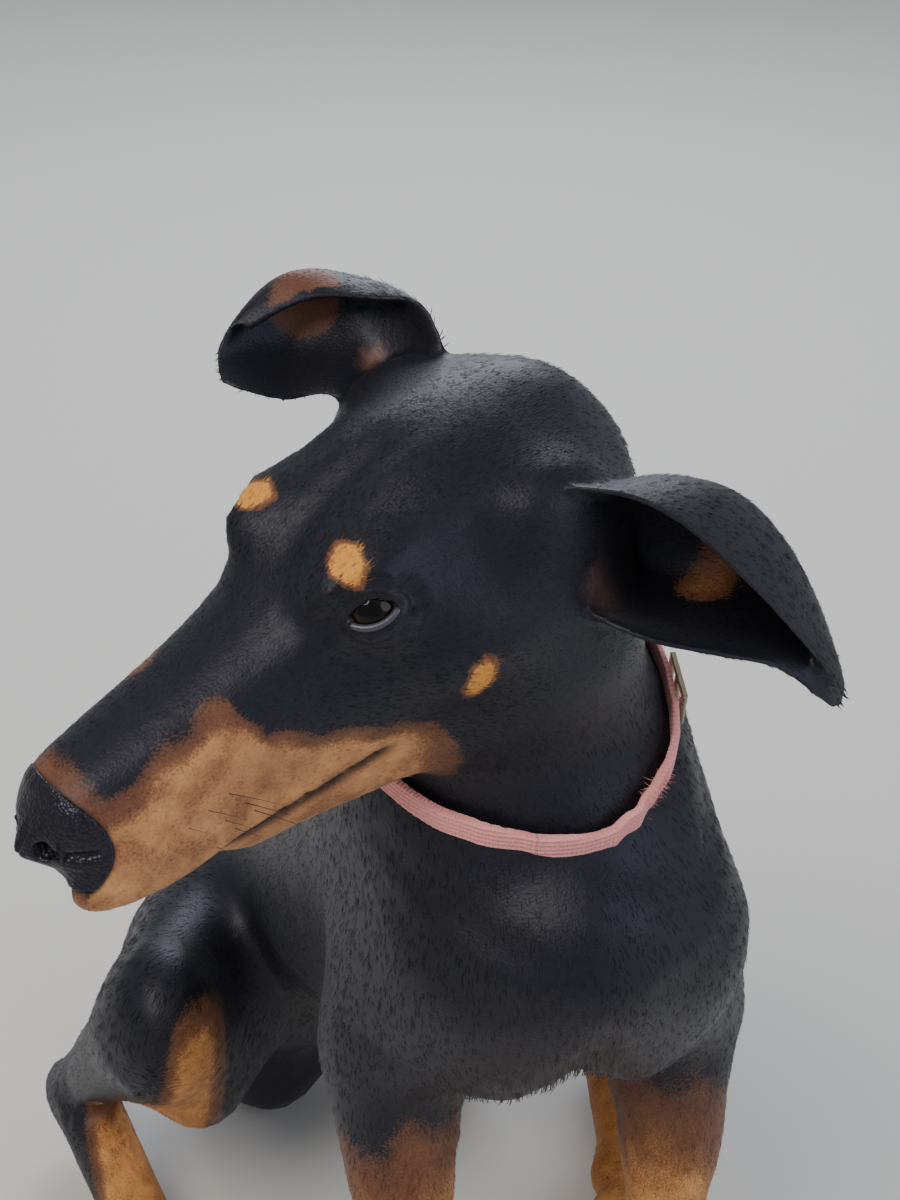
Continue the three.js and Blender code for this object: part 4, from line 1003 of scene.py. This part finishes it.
def tube(name, path, radii, sides=10, closed=False):
    """A round tube along a path in metres, with end caps unless it is closed."""
    path = np.asarray(path, dtype=float)
    radii = np.broadcast_to(radii, len(path))
    forward = np.gradient(path, axis=0)
    if closed:
        forward = np.roll(path, -1, axis=0) - np.roll(path, 1, axis=0)
    forward /= np.linalg.norm(forward, axis=1, keepdims=True)
    helper = np.array([0.13, 0.31, 0.94])
    first = np.cross(forward, helper)
    first /= np.linalg.norm(first, axis=1, keepdims=True)
    second = np.cross(forward, first)
    turn_angles = np.linspace(0, 2 * math.pi, sides, endpoint=False)
    circle = np.cos(turn_angles)[None, :, None] * first[:, None]
    circle = circle + np.sin(turn_angles)[None, :, None] * second[:, None]
    vertices = (path[:, None] + circle * radii[:, None, None]).reshape(-1, 3)
    faces = []
    spans = len(path) if closed else len(path) - 1
    for i in range(spans):
        for j in range(sides):
            a, b = i * sides + j, i * sides + (j + 1) % sides
            c, d = (a + sides) % len(vertices), (b + sides) % len(vertices)
            faces.append((a, b, d, c))
    if not closed:
        faces.append(tuple(reversed(range(sides))))
        faces.append(tuple(range(len(vertices) - sides, len(vertices))))
    piece = mesh_from(name, vertices, faces)
    shade_smooth(piece)
    return piece


for side, name in ((1, "left"), (-1, "right")):
    theta = np.linspace(0, 2 * math.pi, 72, endpoint=False)
    along = OPEN_HALF * np.cos(theta)
    half = np.where(np.sin(theta) > 0, lid_height(along, True), lid_height(along, False))
    up = np.where(np.sin(theta) > 0, half, -half)
    depth = np.sqrt(np.clip((EYE_RADIUS + 0.95) ** 2 - along**2 - up**2, 1, None))
    # lower is 1 along the lower lid, where the rim is thicker and carries the painted highlight.
    lower = ramp(-np.sin(theta), 0.1, 0.6)
    rim_radius = (0.6 + 0.5 * lower) * MM
    rim_path = eye_to_row(np.stack([along, up, depth], axis=1), side)
    rim = tube(f"lid_rim_{name}", rim_path, rim_radius, 10, True)
    add_float(rim, "lower", np.repeat(lower, 10))
    rim.data.materials.append(bare_dark)
    attach(rim, "nose")
print("lid rims done")

# %% [markdown]
# ## Nose
# The nose pad is a finer copy of its solid, softened, with the pebbled leather as bump.

# %% Nose pad
def refined_copy(name, node, voxel_mm, passes):
    """A finer copy of a solid with its edges softened."""
    piece = link(bpy.data.objects.new(name, nodes[node].data.copy()))
    piece.matrix_world = nodes[node].matrix_world.copy()
    only_select(piece)
    bpy.ops.object.transform_apply(location=True, rotation=True, scale=True)
    piece.data.remesh_voxel_size = voxel_mm * MM
    bpy.ops.object.voxel_remesh()
    soften = piece.modifiers.new("soften", "SMOOTH")
    soften.iterations = passes
    bpy.ops.object.modifier_apply(modifier="soften")
    return piece


nose = refined_copy("nose_pad", "nose", 0.6, 9)
nose_points = coordinates(nose)
nose_head = row_to_head(nose_points)
nx, ny, nz = np.abs(nose_head[:, 0]), nose_head[:, 1], nose_head[:, 2]
rise = -1.9 + 2.25 * on_nose_pad(nose_head, 0.9)
# Slit behind each nostril, opening of the nostril, groove down the middle
rise -= 1.5 * bump(nz + 0.8 + 0.08 * ny, 1.3) * ramp(nx, 8, 10) * (1 - ramp(ny, 9, 13))
rise -= 1.6 * bump(np.hypot(nx - 7.0, nz + 0.2), 2.6) * (ny < 6)
rise -= 1.0 * bump(nx, 0.9) * (1 - ramp(nz, 2, 8)) * (ny < 8)
set_coordinates(nose, nose_points + vertex_normals(nose) * (rise[:, None] * MM))
shade_smooth(nose)
leather, tree, surface = new_material("nose_leather")
place = own_place(tree)
pebbles = add(tree, "ShaderNodeTexVoronoi", {"Vector": place, "Scale": 900.0}).outputs["Distance"]
# The leather is lighter on the pebble tops and near black in the grooves between them: painted shade in the
# grooves.
leather_with_groove_shade = mix(tree, pebbles, colour("#1B191E"), colour("#050506"))
tree.links.new(leather_with_groove_shade, surface.inputs["Base Color"])
surface.inputs["Roughness"].default_value = 0.34
surface.inputs["Specular Tint"].default_value = colour("#CFCBE8")
pebble_bump = add(tree, "ShaderNodeBump", {"Height": pebbles, "Strength": 0.55, "Distance": 0.0005})
pebble_bump.invert = True
tree.links.new(pebble_bump.outputs["Normal"], surface.inputs["Normal"])
nose.data.materials.clear()
nose.data.materials.append(leather)
attach(nose, "nose", "nose")
print("nose faces", len(nose.data.polygons))

# %% [markdown]
# ## Claws and whiskers
# Each toe carries one dark curved claw, four to a foot, over the claws of the solids.

# %% Claws
horn, tree, surface = new_material("claw_horn")
surface.inputs["Base Color"].default_value = colour("#17130F")
surface.inputs["Roughness"].default_value = 0.3
TOE_SIDES = [-16.5, -5.8, 5.8, 16.5]
TOE_REACH = [24, 31, 31, 24]
paws = {
    "forepaw_left": (FORE_MID + 47, -22, 0.0),
    "forepaw_right": (FORE_MID - 47, -22, 0.0),
    "hindfoot_left": (106, 156, -0.08),
    "hindfoot_right": (-106, 156, 0.08),
}
for name, (sole_x, sole_y, spread) in paws.items():
    ahead = np.array([math.sin(spread), -math.cos(spread), 0.0])
    aside = np.array([math.cos(spread), math.sin(spread), 0.0])
    parts = []
    for toe, (offset, reach) in enumerate(zip(TOE_SIDES, TOE_REACH)):
        sole = np.array([sole_x, sole_y, 0.0])
        base = sole + aside * offset * 1.04 + ahead * (reach + 4.4) + [0, 0, 10.6]
        point = sole + aside * offset * 1.08 + ahead * (reach + 14.6) + [0, 0, 1.9]
        t = np.linspace(0, 1, 9)[:, None]
        path = base + (point - base) * t + np.array([0, 0, 2.2]) * (t * (1 - t) * 4)
        radii = (2.5 * (1 - t[:, 0]) ** 0.6 + 0.35) * MM
        parts.append(tube(f"claw_{name}_{toe}", (path + SHIFT) * MM, radii, 12))
    only_select(*parts)
    bpy.ops.object.join()
    claws = bpy.context.active_object
    claws.name = f"claws_{name}"
    claws.data.materials.append(horn)
    attach(claws, "nose")
print("claws done")

# %% [markdown]
# Whiskers sweep back from three rows on each side of the muzzle, the hind ones longest.

# %% Whiskers
whiskers = []
for side in (1, -1):
    for row in range(3):
        for step in range(4):
            base = np.array([side * (17 + 1.6 * step), 22 + 9 * step + 3 * row, -6 - 6.0 * row])
            sweep = np.array([side * 0.75, 0.62, -0.18 - 0.1 * row])
            t = np.linspace(0, 1, 7)[:, None]
            reach = 11 + 3 * step
            path = base + sweep * reach * t + np.array([0, 0, -2.0]) * t**2
            taper = (0.16 * (1.02 - t[:, 0])) * MM
            whiskers.append(tube(f"whisker_{side}_{row}_{step}", head_to_row(path), taper, 5))
only_select(*whiskers)
bpy.ops.object.join()
whisker_piece = bpy.context.active_object
whisker_piece.name = "whiskers"
whisker_piece.data.materials.append(horn)
attach(whisker_piece, "coat")
print("whiskers", len(whiskers))

# %% [markdown]
# ## Collar
# Pink ribbed webbing with a worn metal slide and ring. The band is a finer copy of its solid with
# softened edges, and its ribs and weave come from how far along and across the band a place is.

# %% Collar band
COLLAR_CENTRE = np.array([-8.0, 8.0, 362.0])
COLLAR_AXIS = np.array([-0.1, -0.42, 0.9])
COLLAR_AXIS /= np.linalg.norm(COLLAR_AXIS)
band = refined_copy("collar_band", "collar", 0.7, 5)
band_points = body_mm(coordinates(band)) - COLLAR_CENTRE
across_mm = band_points @ COLLAR_AXIS
first = np.cross(COLLAR_AXIS, [1.0, 0, 0])
first /= np.linalg.norm(first)
second = np.cross(COLLAR_AXIS, first)
around = np.arctan2(band_points @ second, band_points @ first)
RIB_PITCH = 2.3
WEAVE_PITCH = 1.5
worn = band_points + vertex_normals(band) * (0.22 * np.cos(across_mm * 2 * math.pi / RIB_PITCH))[:, None]
set_coordinates(band, (worn + COLLAR_CENTRE + SHIFT) * MM)
add_float(band, "across", across_mm)
add_float(band, "around", around * 50.0)
shade_smooth(band)
webbing, tree, surface = new_material("pink_webbing")
across_value = read(tree, "across")
around_value = read(tree, "around")
ribs = calc(tree, "COSINE", calc(tree, "MULTIPLY", across_value, 2 * math.pi / RIB_PITCH))
weave = calc(tree, "SINE", calc(tree, "MULTIPLY", around_value, 2 * math.pi / WEAVE_PITCH))
cloth = calc(tree, "ADD", calc(tree, "MULTIPLY", ribs, 0.35), calc(tree, "MULTIPLY", weave, 0.25))
place = own_place(tree)
fuzz = noise(tree, place, 1600.0, 3.0)
stain = noise(tree, place, 60.0, 3.0)
pink = mix(tree, fuzz, colour("#E58482"), colour("#F6B0AE"))
# The grooves between the ribs are painted a darker pink: painted shade in the grooves.
groove = calc(tree, "SUBTRACT", 0.5, calc(tree, "MULTIPLY", ribs, 0.5))
pink = mix(tree, calc(tree, "MULTIPLY", groove, 0.35), pink, colour("#B85F60"))
pink = mix(tree, calc(tree, "MULTIPLY", stain, 0.25), pink, colour("#C98A80"))
tree.links.new(pink, surface.inputs["Base Color"])
surface.inputs["Roughness"].default_value = 0.85
surface.inputs["Sheen Weight"].default_value = 0.4
cloth = calc(tree, "ADD", cloth, calc(tree, "MULTIPLY", fuzz, 0.5))
cloth_bump = add(tree, "ShaderNodeBump", {"Height": cloth, "Strength": 0.6, "Distance": 0.0006})
tree.links.new(cloth_bump.outputs["Normal"], surface.inputs["Normal"])
band.data.materials.clear()
band.data.materials.append(webbing)
attach(band, "webbing", "collar")

# %% [markdown]
# The band is frayed at the dog's left front, where short curled fibres stand out of it.

# %% Frayed place on the band
FRAY_X, FRAY_Y, FRAY_REACH, FIBRES = 38.0, -22.0, 9, 90
band_mm = body_mm(coordinates(band))
flat_distance = np.hypot(band_mm[:, 0] - FRAY_X, band_mm[:, 1] - FRAY_Y)
band_normals = vertex_normals(band)
outside_face = np.abs(band_normals @ COLLAR_AXIS) < 0.5
candidates = np.flatnonzero((flat_distance < FRAY_REACH) & outside_face)
fibres = []
if len(candidates):
    band_vertices = coordinates(band)
    for index in rng.choice(candidates, size=FIBRES):
        origin = band_vertices[index]
        out = band_normals[index]
        curl = rng.normal(0, 1, 3)
        t = np.linspace(0, 1, 5)[:, None]
        path = origin + out * t * 1.5 * MM + curl * t**2 * 0.9 * MM
        fibres.append(tube(f"fibre_{len(fibres)}", path, 0.13 * MM * (1.1 - t[:, 0]), 4))
    only_select(*fibres)
    bpy.ops.object.join()
    fray = bpy.context.active_object
    fray.name = "collar_fray"
    add_float(fray, "across", np.zeros(len(fray.data.vertices)))
    add_float(fray, "around", np.zeros(len(fray.data.vertices)))
    fray.data.materials.append(webbing)
    attach(fray, "webbing")
print("fray fibres", len(fibres), "nearest", float(flat_distance.min()))
print("band faces", len(band.data.polygons), "across mm", float(across_mm.min()), float(across_mm.max()))

# %% Slide and ring
metal, tree, surface = new_material("worn_nickel")
place = own_place(tree)
wear = noise(tree, place, 240.0, 5.0)
tree.links.new(mix(tree, wear, colour("#B9B4AA"), colour("#A58E62")), surface.inputs["Base Color"])
surface.inputs["Metallic"].default_value = 1.0
polish = remap(tree, wear, 0.0, 1.0, 0.18, 0.42)
tree.links.new(polish, surface.inputs["Roughness"])
for name in ("collar_slide", "collar_ring"):
    fitting = refined_copy(f"{name}_metal", name, 0.35, 4)
    shade_smooth(fitting)
    fitting.data.materials.clear()
    fitting.data.materials.append(metal)
    attach(fitting, "hardware", name)
    print(fitting.name, len(fitting.data.polygons))

# %% [markdown]
# ## Floor, light and camera
# A plain pale floor and wide soft lights. The camera stands where the photograph was taken from.

# %% Floor
bpy.ops.mesh.primitive_plane_add(size=8.0)
floor = bpy.context.active_object
floor.name = "floor"
pale, tree, surface = new_material("pale_floor")
surface.inputs["Base Color"].default_value = colour("#D6D5D1")
surface.inputs["Roughness"].default_value = 0.9
floor.data.materials.append(pale)

# %% Light
world = bpy.data.worlds.new("studio")
world.use_nodes = True
world.node_tree.nodes["Background"].inputs["Color"].default_value = colour("#E4E8EE")
world.node_tree.nodes["Background"].inputs["Strength"].default_value = 0.55
bpy.context.scene.world = world


def soft_light(name, place, aim, size, power, tint):
    light = bpy.data.lights.new(name, "AREA")
    light.shape = "DISK"
    light.size = size
    light.energy = power
    light.color = colour(tint)[:3]
    lamp = link(bpy.data.objects.new(name, light))
    lamp.location = place
    lamp.rotation_euler = (Vector(aim) - Vector(place)).to_track_quat("-Z", "Y").to_euler()
    return lamp


soft_light("key", (-1.1, -1.0, 1.9), (0, -0.1, 0.3), 1.2, 34, "#FFF6EA")
soft_light("fill", (1.5, -1.4, 1.1), (0, 0, 0.25), 1.6, 14, "#EAF1FF")
soft_light("rim", (0.5, 1.6, 1.5), (0, 0, 0.3), 1.2, 22, "#F2F6FF")

# %% Camera
AZIMUTH, ELEVATION, ROLL = -0.266696, 0.484055, 0.017565
FOCAL_PIXELS, PHOTO_WIDTH = 2319.5, 900
back = Vector((
    math.sin(AZIMUTH) * math.cos(ELEVATION),
    -math.cos(AZIMUTH) * math.cos(ELEVATION),
    math.sin(ELEVATION),
))
level = (-back).cross(Vector((0, 0, 1))).normalized()
upright = level.cross(-back)
right = level * math.cos(ROLL) + upright * math.sin(ROLL)
above = upright * math.cos(ROLL) - level * math.sin(ROLL)
camera_data = bpy.data.cameras.new("photo_camera")
camera_data.sensor_fit = "HORIZONTAL"
camera_data.sensor_width = 36.0
camera_data.lens = FOCAL_PIXELS / PHOTO_WIDTH * 36.0
camera_data.clip_start = 0.01
camera = link(bpy.data.objects.new("photo_camera", camera_data))
pose = Matrix((right, above, back)).transposed().to_4x4()
pose.translation = Vector((-0.189930, -0.592499, 0.738108)) + Vector(SHIFT * MM)
camera.matrix_world = pose
bpy.context.scene.camera = camera
print("camera at", [round(v, 4) for v in camera.location], "lens", round(camera_data.lens, 2))

# %% Finish
bpy.context.view_layer.update()
